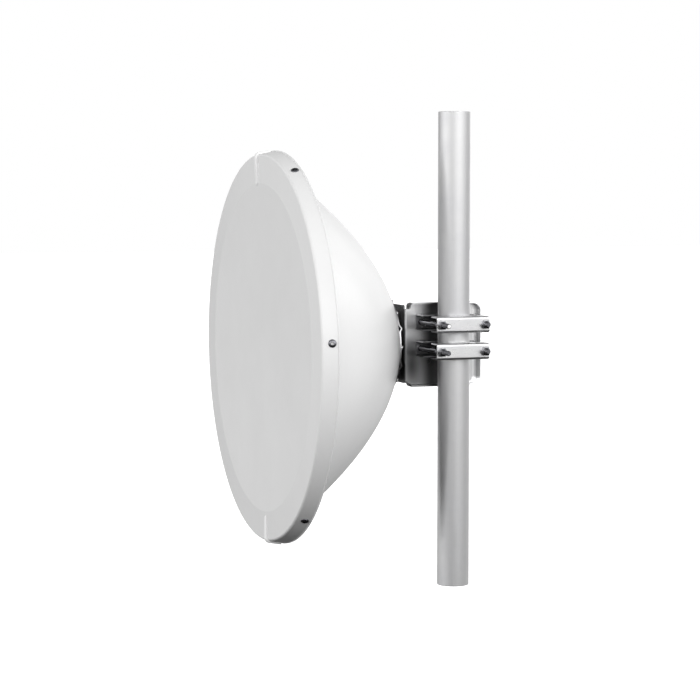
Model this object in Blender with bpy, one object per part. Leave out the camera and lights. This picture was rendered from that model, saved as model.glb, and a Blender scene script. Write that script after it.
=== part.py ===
"""Pole-mounted parabolic dish antenna with a moulded radome cover.

The origin is the centre of the pole's lower end face and +Z runs up the pole.
The dish looks along -Y. Its axis passes the pole on the -X side.
All lengths are in metres.
"""

import math

import bmesh
import bpy
from mathutils import Matrix, Vector

# Pole
POLE_RADIUS = 0.025
POLE_WALL = 0.003
POLE_HEIGHT = 0.760
POLE_FLOOR = 0.004
POLE_EDGE = 0.0008

# Dish axis, and the plane of the face's outer edge
AXIS_X = -0.117
AXIS_Z = 0.382
FACE_Y = -0.289
DISH_SIDES = 80
TOUCH = 0.0003

# Radome cover
COVER_WALL = 0.003
PANEL_RADIUS = 0.262
PANEL_RISE = 0.0006
EDGE_RADIUS = 0.304
EDGE_ROUND = 0.007
SKIRT_FRONT_RADIUS = 0.311
SKIRT_BACK_RADIUS = 0.3155
SKIRT_DEPTH = 0.028
BEAD_RADIUS = 0.0012
COVER_ROLL = math.radians(5.0)
MARK_WIDTH = 0.008
MARK_HEIGHT = 0.0026
MARK_INNER_RADIUS = 0.264

# Reflector
REFLECTOR_WALL = 0.002
PARABOLA_SCALE = 0.404
VERTEX_DEPTH = 0.2271
HUB_RADIUS = 0.0445
HUB_DEPTH = 0.2222
RIM_FLANGE_FRONT = COVER_WALL + TOUCH

# Hub plate between the reflector and the bracket
HUB_PLATE_RADIUS = 0.075
HUB_PLATE_WALL = 0.0022
HUB_PLATE_SIDES = 96
HUB_RIB_COUNT = 8
HUB_RIB_HEIGHT = 0.0042
HUB_RIB_HALF_WIDTH = 0.0085

# Bracket
SHEET = 0.0025
BEND = 0.0033
PLATE_FACE_X = -0.0523
PLATE_FRONT_Y = -0.064
PLATE_BACK_Y = 0.0642
PLATE_BOTTOM_Z = 0.318
PLATE_TOP_Z = 0.454
LIP_DEPTH = 0.0147
LIP_START_Y = -0.0565
TRAY_FRONT_Y = -0.0617
NEAR_CORNER = 0.0055
FAR_CORNER = 0.0140
FLANGE_BOTTOM_Z = 0.3229
FLANGE_TOP_Z = 0.4493
FLANGE_FAR_X = -0.176
HUB_BOLT_OFFSET = 0.025
TOP_RELIEF = 0.0102
BOTTOM_RELIEF = 0.0055
RELIEF_FAR_X = -0.0590
SPARE_HOLE_RADIUS = 0.004
SPARE_HOLE_Y = 0.0224
SPARE_HOLE_Z = 0.357

# Clamp channels and their bolts
CHANNEL_HEIGHT = 0.026
CHANNEL_FACE_X = 0.0425
CHANNEL_FREE_X = 0.0155
REAR_FACE_X = 0.052
REAR_FREE_X = 0.0207
CHANNEL_HALF_LENGTH = 0.045
NOTCH_APEX_X = 0.0358
REAR_NOTCH_APEX_X = 0.0352
CLAMP_LEVELS = (0.4223, 0.3796)
BOLT_OFFSET_Y = 0.037
BOLT_RADIUS = 0.004
BOLT_HOLE_RADIUS = 0.0045
FRONT_BOLT_END_X = 0.074
BACK_BOLT_END_X = 0.067
BOLT_HEAD = 0.0053
HEX_RADIUS = 0.0075
NUT_HEIGHT = 0.0065
WASHER_RADIUS = 0.008
WASHER_HEIGHT = 0.0016

# Rim screws
RIM_SCREW_COUNT = 6
RIM_SCREW_DEPTH = 0.0175
RIM_SCREW_HEAD_RADIUS = 0.0066
RIM_SCREW_HEAD = 0.0038
RIM_SCREW_RADIUS = 0.0028
RIM_HOLE_RADIUS = 0.0031


def clear_scene():
    """Remove every object of the startup scene."""
    for obj in list(bpy.data.objects):
        bpy.data.objects.remove(obj, do_unlink=True)


def make_material(name, colour, roughness, metallic=0.0):
    """Return a plain surface of one colour."""
    material = bpy.data.materials.new(name)
    material.use_nodes = True
    surface = material.node_tree.nodes["Principled BSDF"]
    surface.inputs["Base Color"].default_value = (*colour, 1.0)
    surface.inputs["Roughness"].default_value = roughness
    surface.inputs["Metallic"].default_value = metallic
    return material


def add_object(name, bm, material=None, smooth_angle=None):
    """Turn a bmesh into a scene object whose faces look outward."""
    bmesh.ops.recalc_face_normals(bm, faces=bm.faces[:])
    mesh = bpy.data.meshes.new(name)
    bm.to_mesh(mesh)
    bm.free()
    obj = bpy.data.objects.new(name, mesh)
    bpy.context.scene.collection.objects.link(obj)
    if material is not None:
        mesh.materials.append(material)
    if smooth_angle is not None:
        mesh.shade_smooth()
        mesh.set_sharp_from_angle(angle=math.radians(smooth_angle))
    return obj


def dish_point(radius, depth, angle):
    """Return the point at a radius and a depth behind the face's edge plane.

    The angle is zero towards +X and grows towards +Z.
    """
    x = AXIS_X + radius * math.cos(angle)
    y = FACE_Y + depth
    z = AXIS_Z + radius * math.sin(angle)
    return Vector((x, y, z))


def turned(profile, sides, place):
    """Revolve a closed profile of (radius, height) pairs into a solid."""
    bm = bmesh.new()
    rings = []
    for radius, height in profile:
        if radius < 1e-7:
            rings.append([bm.verts.new(place(0.0, height, 0.0))])
            continue
        ring = []
        for step in range(sides):
            angle = 2.0 * math.pi * step / sides
            ring.append(bm.verts.new(place(radius, height, angle)))
        rings.append(ring)
    for index, first in enumerate(rings):
        second = rings[(index + 1) % len(rings)]
        bridge(bm, first, second)
    return bm


def bridge(bm, first, second):
    """Join two closed rings of points, either of which may be one point."""
    if len(first) == 1 and len(second) == 1:
        return
    sides = max(len(first), len(second))
    for step in range(sides):
        after = (step + 1) % sides
        corners = []
        if len(first) == 1:
            corners = [first[0], second[after], second[step]]
        elif len(second) == 1:
            corners = [first[step], first[after], second[0]]
        else:
            corners = [first[step], first[after], second[after], second[step]]
        bm.faces.new(corners)


def axis_frame(origin, direction, spin=0.0):
    """Return a matrix whose local +Z runs along a direction."""
    turn = Vector(direction).to_track_quat("Z", "Y").to_matrix().to_4x4()
    return Matrix.Translation(origin) @ turn @ Matrix.Rotation(spin, 4, "Z")


def cylinder(radius, low, high, frame, sides=24):
    """Return a closed cylinder between two heights along a frame's +Z."""
    profile = [(0.0, low), (radius, low), (radius, high), (0.0, high)]

    def place(r, h, angle):
        return frame @ Vector((r * math.cos(angle), r * math.sin(angle), h))

    return turned(profile, sides, place)


def boolean(obj, cutter, operation):
    """Apply one exact Boolean and remove the object it used."""
    modifier = obj.modifiers.new("shape", "BOOLEAN")
    modifier.operation = operation
    modifier.solver = "EXACT"
    modifier.object = cutter
    bpy.context.view_layer.update()
    graph = bpy.context.evaluated_depsgraph_get()
    mesh = bpy.data.meshes.new_from_object(obj.evaluated_get(graph))
    obj.modifiers.clear()
    old = obj.data
    obj.data = mesh
    bpy.data.meshes.remove(old)
    bpy.data.objects.remove(cutter, do_unlink=True)


def drill(obj, origin, direction, radius, low, high, sides=20):
    """Cut a round hole through an object."""
    frame = axis_frame(origin, direction)
    cutter = add_object("cutter", cylinder(radius, low, high, frame, sides))
    boolean(obj, cutter, "DIFFERENCE")


def finish(obj, material, smooth_angle):
    """Set the surface and the shading of a finished object."""
    obj.data.materials.clear()
    obj.data.materials.append(material)
    obj.data.shade_smooth()
    obj.data.set_sharp_from_angle(angle=math.radians(smooth_angle))


def arc(centre, radius, start, end, steps):
    """Return points on an arc of (radius, depth) pairs, angles in degrees."""
    points = []
    for step in range(steps + 1):
        angle = math.radians(start + (end - start) * step / steps)
        r = centre[0] + radius * math.cos(angle)
        s = centre[1] + radius * math.sin(angle)
        points.append((r, s))
    return points


def cover_outer_line():
    """Return the cover's outer line from the centre to its rear edge."""
    line = [(0.0, -PANEL_RISE), (PANEL_RADIUS, -PANEL_RISE)]
    line.append((PANEL_RADIUS + 0.005, -PANEL_RISE * 0.9))
    centre = (EDGE_RADIUS, EDGE_ROUND)
    line.extend(arc(centre, EDGE_ROUND, -90.0, 0.0, 4))
    return line


def make_cover(material):
    """Build the radome cover: raised panel, sloping band, skirt and marks."""
    outer = cover_outer_line()
    skirt_inner = SKIRT_BACK_RADIUS - COVER_WALL
    rear = SKIRT_DEPTH
    outer.append((SKIRT_BACK_RADIUS - 0.0004, rear - 0.0034))
    outer.append((SKIRT_BACK_RADIUS + BEAD_RADIUS, rear - 0.0026))
    outer.append((SKIRT_BACK_RADIUS + BEAD_RADIUS, rear - 0.0006))
    outer.append((SKIRT_BACK_RADIUS + 0.0004, rear))
    inner = [(skirt_inner, rear)]
    inner.append((SKIRT_FRONT_RADIUS - COVER_WALL, EDGE_ROUND))
    inner.append((EDGE_RADIUS + 0.0015, COVER_WALL))
    inner.append((PANEL_RADIUS + 0.005, COVER_WALL - PANEL_RISE * 0.9))
    inner.append((PANEL_RADIUS, COVER_WALL - PANEL_RISE))
    inner.append((0.0, COVER_WALL - PANEL_RISE))
    bm = turned(outer + inner, DISH_SIDES, dish_point)
    cover = add_object("radome_cover", bm)
    for turn in (0.0, math.pi):
        mark = make_mark(math.pi / 2.0 + COVER_ROLL + turn)
        boolean(cover, mark, "UNION")
    for step in range(RIM_SCREW_COUNT):
        angle = rim_screw_angle(step)
        seat, outward = rim_screw_line(angle)
        drill(cover, seat, outward, RIM_HOLE_RADIUS, -0.010, 0.010, 12)
    finish(cover, material, 28.0)
    return cover


def radial(angle):
    """Return the outward direction at an angle round the dish axis."""
    return Vector((math.cos(angle), 0.0, math.sin(angle)))


def rim_screw_angle(step):
    """Return the angle of one rim screw."""
    return COVER_ROLL + 2.0 * math.pi * step / RIM_SCREW_COUNT


def rim_screw_line(angle):
    """Return a rim screw's seat on the skirt and its outward direction."""
    flare = SKIRT_BACK_RADIUS - SKIRT_FRONT_RADIUS
    slope = flare / (SKIRT_DEPTH - EDGE_ROUND)
    rise = slope * (RIM_SCREW_DEPTH - EDGE_ROUND)
    seat = dish_point(SKIRT_FRONT_RADIUS + rise, RIM_SCREW_DEPTH, angle)
    direction = radial(angle) - Vector((0.0, slope, 0.0))
    return seat, direction.normalized()


def make_mark(angle):
    """Build one half-round mark that runs over the band and the skirt."""
    line = [(MARK_INNER_RADIUS, -PANEL_RISE * 0.8, 0.35)]
    line.append((MARK_INNER_RADIUS + 0.003, -PANEL_RISE * 0.7, 1.0))
    line.append((EDGE_RADIUS, 0.0, 1.0))
    centre = (EDGE_RADIUS, EDGE_ROUND)
    for r, s in arc(centre, EDGE_ROUND, -60.0, 0.0, 2):
        line.append((r, s, 1.0))
    back = SKIRT_BACK_RADIUS - 0.0006
    line.append((back, SKIRT_DEPTH - 0.005, 1.0))
    tangent_out = radial(angle)
    tangent_back = Vector((0.0, 1.0, 0.0))
    side = tangent_out.cross(tangent_back)
    bm = bmesh.new()
    rings = []
    for index, (r, s, size) in enumerate(line):
        before = line[max(index - 1, 0)]
        after = line[min(index + 1, len(line) - 1)]
        run = Vector((after[0] - before[0], after[1] - before[1]))
        run.normalize()
        normal = tangent_out * -run.y * -1.0 + tangent_back * -run.x
        centre_point = dish_point(r, s, angle)
        ring = []
        for step in range(9):
            sweep = math.pi * step / 8.0
            wide = MARK_WIDTH / 2.0 * math.cos(sweep) * size
            high = MARK_HEIGHT * math.sin(sweep) * size
            ring.append(bm.verts.new(centre_point + side * wide + normal * high))
        low = centre_point - normal * 0.0015
        ring.append(bm.verts.new(low - side * MARK_WIDTH / 2.0 * size))
        ring.append(bm.verts.new(low + side * MARK_WIDTH / 2.0 * size))
        rings.append(ring)
    for first, second in zip(rings, rings[1:]):
        bridge(bm, first, second)
    bm.faces.new(rings[0])
    bm.faces.new(rings[-1])
    return add_object("mark", bm)


def parabola_depth(radius):
    """Return the depth of the reflector's rear surface at a radius."""
    return VERTEX_DEPTH - radius * radius / PARABOLA_SCALE


def make_reflector(material):
    """Build the spun reflector with its flat hub and its turned-back rim."""
    back_of_flange = RIM_FLANGE_FRONT + REFLECTOR_WALL
    rim_radius = math.sqrt((VERTEX_DEPTH - back_of_flange) * PARABOLA_SCALE)
    steps = 11
    outer = [(0.0, HUB_DEPTH), (HUB_RADIUS - 0.003, HUB_DEPTH)]
    for step in range(steps + 1):
        radius = HUB_RADIUS + (rim_radius - HUB_RADIUS) * step / steps
        depth = min(parabola_depth(radius), HUB_DEPTH - 0.0002)
        outer.append((radius, depth))
    lip_front = SKIRT_FRONT_RADIUS - COVER_WALL - 0.0006
    lip_back = SKIRT_BACK_RADIUS - COVER_WALL - 0.0012
    outer.append((lip_front - REFLECTOR_WALL - 0.001, back_of_flange))
    outer.append((lip_front - REFLECTOR_WALL, back_of_flange + 0.001))
    outer.append((lip_back - REFLECTOR_WALL, SKIRT_DEPTH - 0.003))
    outer.append((lip_back, SKIRT_DEPTH - 0.003))
    outer.append((lip_front, back_of_flange + 0.0015))
    outer.append((lip_front - 0.0025, RIM_FLANGE_FRONT))
    inner = []
    for step in range(steps, -1, -1):
        radius = HUB_RADIUS + (rim_radius - HUB_RADIUS) * step / steps
        slope = 2.0 * radius / PARABOLA_SCALE
        thick = REFLECTOR_WALL * math.sqrt(1.0 + slope * slope)
        depth = min(parabola_depth(radius), HUB_DEPTH - 0.0002) - thick
        inner.append((radius, max(depth, RIM_FLANGE_FRONT)))
    inner[0] = (rim_radius - 0.0022, RIM_FLANGE_FRONT)
    inner.append((HUB_RADIUS - 0.003, HUB_DEPTH - REFLECTOR_WALL))
    inner.append((0.0, HUB_DEPTH - REFLECTOR_WALL))
    bm = turned(outer + inner, DISH_SIDES, dish_point)
    reflector = add_object("reflector", bm)
    for x, z in hub_bolt_spots():
        start = Vector((x, FACE_Y + HUB_DEPTH - 0.02, z))
        drill(reflector, start, (0, 1, 0), BOLT_HOLE_RADIUS, 0.0, 0.04, 12)
    for step in range(RIM_SCREW_COUNT):
        angle = rim_screw_angle(step)
        seat, outward = rim_screw_line(angle)
        drill(reflector, seat, outward, RIM_HOLE_RADIUS, -0.010, 0.010, 12)
    finish(reflector, material, 24.0)
    return reflector


def hub_bolt_spots():
    """Return the (x, z) places of the four hub bolts."""
    spots = []
    for side in (1.0, -1.0):
        for rise in (1.0, -1.0):
            x = AXIS_X + side * HUB_BOLT_OFFSET
            z = AXIS_Z + rise * HUB_BOLT_OFFSET
            spots.append((x, z))
    return spots


def hub_rib_lift(radius, angle):
    """Return how far a pressed rib lifts the hub plate at one point."""
    spacing = 2.0 * math.pi / HUB_RIB_COUNT
    nearest = (angle - spacing / 2.0) % spacing
    away = min(nearest, spacing - nearest) * radius
    across = max(0.0, 1.0 - away / HUB_RIB_HALF_WIDTH)
    along = (radius - HUB_RADIUS) / (HUB_PLATE_RADIUS - HUB_RADIUS)
    return HUB_RIB_HEIGHT * across * max(0.0, min(1.0, along))


def make_hub_plate(material):
    """Build the dished hub plate with its radial ribs."""
    radii = [0.0, HUB_RADIUS, 0.052, 0.060, 0.068, HUB_PLATE_RADIUS]
    bm = bmesh.new()
    faces = []
    for offset in (TOUCH, TOUCH + HUB_PLATE_WALL):
        rings = []
        for radius in radii:
            base = min(parabola_depth(radius), HUB_DEPTH) + offset
            if radius == 0.0:
                rings.append([bm.verts.new(dish_point(0.0, base, 0.0))])
                continue
            ring = []
            for step in range(HUB_PLATE_SIDES):
                angle = 2.0 * math.pi * step / HUB_PLATE_SIDES
                depth = base + hub_rib_lift(radius, angle)
                ring.append(bm.verts.new(dish_point(radius, depth, angle)))
            rings.append(ring)
        for first, second in zip(rings, rings[1:]):
            bridge(bm, first, second)
        faces.append(rings[-1])
    bridge(bm, faces[0], faces[1])
    plate = add_object("hub_plate", bm)
    for x, z in hub_bolt_spots():
        start = Vector((x, FACE_Y + HUB_DEPTH - 0.02, z))
        drill(plate, start, (0, 1, 0), BOLT_HOLE_RADIUS, 0.0, 0.04, 12)
    finish(plate, material, 24.0)
    return plate


def tray_outline(inset):
    """Return the outline of the side plate's tray as (y, z) points."""
    low_y = TRAY_FRONT_Y + inset
    high_y = PLATE_BACK_Y - inset
    low_z = PLATE_BOTTOM_Z + inset
    high_z = PLATE_TOP_Z - inset
    near = NEAR_CORNER - inset
    far = FAR_CORNER - inset
    points = arc((high_y - far, low_z + far), far, -90.0, 0.0, 5)
    points += arc((high_y - far, high_z - far), far, 0.0, 90.0, 5)
    points += arc((low_y + near, high_z - near), near, 90.0, 180.0, 3)
    points += arc((low_y + near, low_z + near), near, 180.0, 270.0, 3)
    return points


def make_tray():
    """Build the side plate with its lips, open where the front flange starts."""
    back = PLATE_FACE_X - SHEET
    free = PLATE_FACE_X + LIP_DEPTH
    inner_bend = BEND - SHEET
    levels = []
    for angle in (90.0, 60.0, 30.0, 0.0):
        inset = BEND * (1.0 - math.cos(math.radians(angle)))
        levels.append((inset, back + BEND * (1.0 - math.sin(math.radians(angle)))))
    levels.append((0.0, free))
    levels.append((SHEET, free))
    for angle in (0.0, 30.0, 60.0, 90.0):
        inset = SHEET + inner_bend * (1.0 - math.cos(math.radians(angle)))
        levels.append((inset, back + BEND - inner_bend * math.sin(math.radians(angle))))
    bm = bmesh.new()
    rings = []
    for inset, x in levels:
        rings.append([bm.verts.new((x, y, z)) for y, z in tray_outline(inset)])
    for first, second in zip(rings, rings[1:]):
        bridge(bm, first, second)
    bm.faces.new(rings[0])
    bm.faces.new(rings[-1])
    tray = add_object("bracket", bm)
    front = (PLATE_FACE_X - 0.05, PLATE_FRONT_Y - 0.04)
    low = PLATE_BOTTOM_Z + BOTTOM_RELIEF
    high = PLATE_TOP_Z - TOP_RELIEF
    cut_block(tray, front, (PLATE_FACE_X + 0.05, LIP_START_Y), low, high)
    return tray


def make_fold():
    """Build the front flange with the bend that joins it to the plate."""
    centre = (PLATE_FACE_X - BEND, PLATE_FRONT_Y + BEND)
    outline = [(PLATE_FACE_X, LIP_START_Y)]
    outline.extend(arc(centre, BEND, 0.0, -90.0, 4))
    outline.append((FLANGE_FAR_X, PLATE_FRONT_Y))
    outline.append((FLANGE_FAR_X, PLATE_FRONT_Y + SHEET))
    outline.extend(arc(centre, BEND - SHEET, -90.0, 0.0, 4))
    outline.append((PLATE_FACE_X - SHEET, LIP_START_Y))
    bm = bmesh.new()
    rings = []
    for z in (FLANGE_BOTTOM_Z, FLANGE_TOP_Z):
        rings.append([bm.verts.new((x, y, z)) for x, y in outline])
    bridge(bm, rings[0], rings[1])
    bm.faces.new(rings[0])
    bm.faces.new(rings[1])
    fold = add_object("fold", bm)
    near = (RELIEF_FAR_X, PLATE_FRONT_Y - 0.01)
    far = (PLATE_FACE_X + 0.01, LIP_START_Y + 0.01)
    cut_block(fold, near, far, PLATE_TOP_Z - TOP_RELIEF, PLATE_TOP_Z + 0.01)
    cut_block(fold, near, far, PLATE_BOTTOM_Z - 0.01, PLATE_BOTTOM_Z + BOTTOM_RELIEF)
    return fold


def make_bracket(material):
    """Build the folded bracket: side plate, lips and the front flange."""
    bracket = make_tray()
    boolean(bracket, make_fold(), "UNION")
    start_x = PLATE_FACE_X - 0.015
    for level in CLAMP_LEVELS:
        for side in (-1.0, 1.0):
            start = Vector((start_x, side * BOLT_OFFSET_Y, level))
            drill(bracket, start, (1, 0, 0), BOLT_HOLE_RADIUS, 0.0, 0.03, 16)
    for x, z in hub_bolt_spots():
        start = Vector((x, PLATE_FRONT_Y - 0.01, z))
        drill(bracket, start, (0, 1, 0), BOLT_HOLE_RADIUS, 0.0, 0.03, 16)
    for side in (-1.0, 1.0):
        start = Vector((start_x, side * SPARE_HOLE_Y, SPARE_HOLE_Z))
        drill(bracket, start, (1, 0, 0), SPARE_HOLE_RADIUS, 0.0, 0.03, 16)
    finish(bracket, material, 30.0)
    return bracket


def cut_block(obj, near, far, low_z, high_z):
    """Cut an upright block, given by two corners as (x, y), out of an object."""
    cutter = bmesh.new()
    corners = [near, (far[0], near[1]), far, (near[0], far[1])]
    rings = []
    for z in (low_z, high_z):
        rings.append([cutter.verts.new((x, y, z)) for x, y in corners])
    bridge(cutter, rings[0], rings[1])
    cutter.faces.new(rings[0])
    cutter.faces.new(rings[1])
    boolean(obj, add_object("cutter", cutter), "DIFFERENCE")


def make_channel(name, level, side, material):
    """Build one clamp channel; side is 1 in front of the pole, else -1."""
    half = CHANNEL_HEIGHT / 2.0
    radius = 0.004
    inner = radius - SHEET
    face, free, apex = CHANNEL_FACE_X, CHANNEL_FREE_X, NOTCH_APEX_X
    if side < 0.0:
        face, free, apex = REAR_FACE_X, REAR_FREE_X, REAR_NOTCH_APEX_X
    outline = [(free, -half)]
    outline.extend(arc((face - radius, -half + radius), radius, -90.0, 0.0, 4))
    outline.extend(arc((face - radius, half - radius), radius, 0.0, 90.0, 4))
    outline.append((free, half))
    outline.append((free, half - SHEET))
    outline.extend(arc((face - radius, half - radius), inner, 90.0, 0.0, 3))
    outline.extend(arc((face - radius, -half + radius), inner, 0.0, -90.0, 3))
    outline.append((free, -half + SHEET))
    bm = bmesh.new()
    ends = []
    for y in (-CHANNEL_HALF_LENGTH, CHANNEL_HALF_LENGTH):
        ends.append([bm.verts.new((side * x, y, level + z)) for x, z in outline])
    bridge(bm, ends[0], ends[1])
    bm.faces.new(ends[0])
    bm.faces.new(ends[1])
    channel = add_object(name, bm)
    mouth = free - 0.005
    spread = apex - mouth
    prism = bmesh.new()
    rings = []
    for z in (level - half - 0.01, level + half + 0.01):
        ring = [prism.verts.new((side * apex, 0.0, z))]
        ring.append(prism.verts.new((side * mouth, spread, z)))
        ring.append(prism.verts.new((side * mouth, -spread, z)))
        rings.append(ring)
    bridge(prism, rings[0], rings[1])
    prism.faces.new(rings[0])
    prism.faces.new(rings[1])
    boolean(channel, add_object("cutter", prism), "DIFFERENCE")
    for y in (-BOLT_OFFSET_Y, BOLT_OFFSET_Y):
        start = Vector((side * 0.03, y, level))
        drill(channel, start, (side, 0, 0), BOLT_HOLE_RADIUS, 0.0, 0.04, 16)
    finish(channel, material, 30.0)
    return channel


def hexagon(radius, low, high, frame, hole=0.0):
    """Return a chamfered hexagonal prism, with an optional round hole."""
    edge = 0.0006
    profile = [(radius - edge, low), (radius, low + edge)]
    profile.extend([(radius, high - edge), (radius - edge, high)])
    if hole == 0.0:
        profile = [(0.0, low)] + profile + [(0.0, high)]
    bm = bmesh.new()
    rings = []
    for r, h in profile:
        if r == 0.0:
            rings.append([bm.verts.new(frame @ Vector((0.0, 0.0, h)))])
            continue
        rings.append(hex_ring(bm, r, h, frame, 6))
    if hole > 0.0:
        rings.append(hex_ring(bm, hole, high, frame, 18))
        rings.append(hex_ring(bm, hole, low, frame, 18))
    for first, second in zip(rings, rings[1:]):
        if len(first) in (1, len(second)) or len(second) == 1:
            bridge(bm, first, second)
        else:
            fan(bm, first, second)
    if hole > 0.0:
        fan(bm, rings[0], rings[-1])
    return bm


def hex_ring(bm, radius, height, frame, count):
    """Add a ring of points, the first one on the frame's +X."""
    ring = []
    for step in range(count):
        angle = 2.0 * math.pi * step / count
        spot = Vector((radius * math.cos(angle), radius * math.sin(angle), height))
        ring.append(bm.verts.new(frame @ spot))
    return ring


def fan(bm, six, many):
    """Join a hexagon to a ring that has three points to each of its sides."""
    per_side = len(many) // len(six)
    for side in range(len(six)):
        after = (side + 1) % len(six)
        first = side * per_side
        for step in range(per_side):
            low = many[(first + step) % len(many)]
            high = many[(first + step + 1) % len(many)]
            anchor = six[side] if step * 2 < per_side - 1 else six[after]
            if step * 2 == per_side - 1:
                bm.faces.new([six[side], six[after], high, low])
                continue
            bm.faces.new([anchor, high, low])


def make_bolt(name, level, y, end, material):
    """Build one long clamp bolt with its head behind the side plate."""
    back = PLATE_FACE_X - SHEET - TOUCH
    frame = axis_frame((0.0, y, level), (1, 0, 0), math.radians(30.0))
    head = hexagon(HEX_RADIUS, back - BOLT_HEAD, back, frame)
    bolt = add_object(name, head)
    shank = cylinder(BOLT_RADIUS, back - 0.002, end, frame, 18)
    boolean(bolt, add_object("shank", shank), "UNION")
    finish(bolt, material, 30.0)
    return bolt


def make_clamp_nut(name, level, y, material):
    """Build one nut on the free end of a clamp bolt."""
    low = CHANNEL_FACE_X + WASHER_HEIGHT + 2.0 * TOUCH
    frame = axis_frame((0.0, y, level), (1, 0, 0), math.radians(30.0))
    hole = BOLT_RADIUS + TOUCH
    bm = hexagon(HEX_RADIUS, low, low + NUT_HEIGHT, frame, hole)
    return add_object(name, bm, material, 30.0)


def make_clamp_washer(name, level, y, material):
    """Build one washer between a channel and its nut."""
    low = CHANNEL_FACE_X + TOUCH
    frame = axis_frame((0.0, y, level), (1, 0, 0))
    high = low + WASHER_HEIGHT
    hole = BOLT_RADIUS + TOUCH
    profile = [(hole, low), (WASHER_RADIUS, low), (WASHER_RADIUS, high), (hole, high)]

    def place(r, h, angle):
        return frame @ Vector((r * math.cos(angle), r * math.sin(angle), h))

    return add_object(name, turned(profile, 24, place), material, 30.0)


def make_hub_bolt(name, x, z, material):
    """Build one bolt that holds the flange, hub plate and reflector."""
    face = PLATE_FRONT_Y + SHEET + TOUCH
    frame = axis_frame((x, 0.0, z), (0, 1, 0))
    head = hexagon(HEX_RADIUS, face, face + BOLT_HEAD, frame)
    bolt = add_object(name, head)
    shank = cylinder(BOLT_RADIUS, face - 0.014, face + 0.002, frame, 18)
    boolean(bolt, add_object("shank", shank), "UNION")
    finish(bolt, material, 30.0)
    return bolt


def make_rim_screw(name, angle, material):
    """Build one pan-head screw through the cover's skirt."""
    seat, outward = rim_screw_line(angle)
    frame = axis_frame(seat, outward)
    low = TOUCH
    high = low + RIM_SCREW_HEAD
    wide = RIM_SCREW_HEAD_RADIUS
    profile = [(0.0, -0.0075), (RIM_SCREW_RADIUS, -0.0075)]
    profile.append((RIM_SCREW_RADIUS, low))
    profile.append((wide, low))
    profile.append((wide, low + 0.0014))
    profile.append((wide * 0.86, low + 0.0028))
    profile.append((wide * 0.55, high - 0.0002))
    profile.append((wide * 0.40, high))
    profile.append((wide * 0.40, high - 0.0016))
    profile.append((0.0, high - 0.0020))

    def place(r, h, turn):
        return frame @ Vector((r * math.cos(turn), r * math.sin(turn), h))

    return add_object(name, turned(profile, 16, place), material, 30.0)


def make_pole(material):
    """Build the round pole, closed by a disc at its lower end."""
    profile = [(0.0, 0.0), (POLE_RADIUS - POLE_EDGE, 0.0)]
    profile.append((POLE_RADIUS, POLE_EDGE))
    profile.append((POLE_RADIUS, POLE_HEIGHT - POLE_EDGE))
    profile.append((POLE_RADIUS - POLE_EDGE, POLE_HEIGHT))
    profile.append((POLE_RADIUS - POLE_WALL, POLE_HEIGHT))
    profile.append((POLE_RADIUS - POLE_WALL, POLE_FLOOR))
    profile.append((0.0, POLE_FLOOR))

    def place(r, h, angle):
        return Vector((r * math.cos(angle), r * math.sin(angle), h))

    return add_object("pole", turned(profile, 64, place), material, 30.0)


def main():
    """Build every piece in the order of assembly."""
    clear_scene()
    plastic = make_material("cover_plastic", (0.80, 0.80, 0.79), 0.38)
    paint = make_material("reflector_paint", (0.84, 0.84, 0.83), 0.28)
    hub_metal = make_material("hub_steel", (0.62, 0.62, 0.63), 0.30, 1.0)
    sheet_metal = make_material("bracket_steel", (0.60, 0.60, 0.61), 0.14, 1.0)
    clamp_metal = make_material("clamp_steel", (0.66, 0.66, 0.67), 0.25, 1.0)
    bolt_metal = make_material("bolt_steel", (0.45, 0.45, 0.46), 0.30, 1.0)
    pole_metal = make_material("pole_steel", (0.58, 0.58, 0.59), 0.40, 1.0)
    screw_metal = make_material("screw_steel", (0.40, 0.40, 0.41), 0.32, 1.0)

    make_pole(pole_metal)
    make_cover(plastic)
    make_reflector(paint)
    make_hub_plate(hub_metal)
    make_bracket(sheet_metal)
    for step in range(RIM_SCREW_COUNT):
        make_rim_screw(f"rim_screw_{step + 1}", rim_screw_angle(step), screw_metal)
    for number, (x, z) in enumerate(hub_bolt_spots(), 1):
        make_hub_bolt(f"hub_bolt_{number}", x, z, bolt_metal)
    for word, level in zip(("upper", "lower"), CLAMP_LEVELS):
        make_channel(f"{word}_front_channel", level, 1.0, clamp_metal)
        make_channel(f"{word}_rear_channel", level, -1.0, clamp_metal)
        bolts = [("front", -BOLT_OFFSET_Y, FRONT_BOLT_END_X)]
        bolts.append(("back", BOLT_OFFSET_Y, BACK_BOLT_END_X))
        for place, y, end in bolts:
            make_bolt(f"{word}_{place}_bolt", level, y, end, bolt_metal)
            make_clamp_washer(f"{word}_{place}_washer", level, y, bolt_metal)
            make_clamp_nut(f"{word}_{place}_nut", level, y, bolt_metal)


if __name__ == "__main__":
    main()
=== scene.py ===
"""Dressed scene of a parabolic dish antenna clamped to a round pole.

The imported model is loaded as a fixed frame. Each class after the node trees is
one sub-assembly: it holds its sizes, builds its meshes and gives them a finish.
All lengths are in metres, +Z runs up the pole and the dish looks along -Y.
"""

from __future__ import annotations

import logging
from dataclasses import dataclass, replace
from enum import Enum
from math import atan, copysign, cos, degrees, pi, radians, sin, sqrt, tan

import bmesh
import bpy
from mathutils import Matrix, Vector


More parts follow.
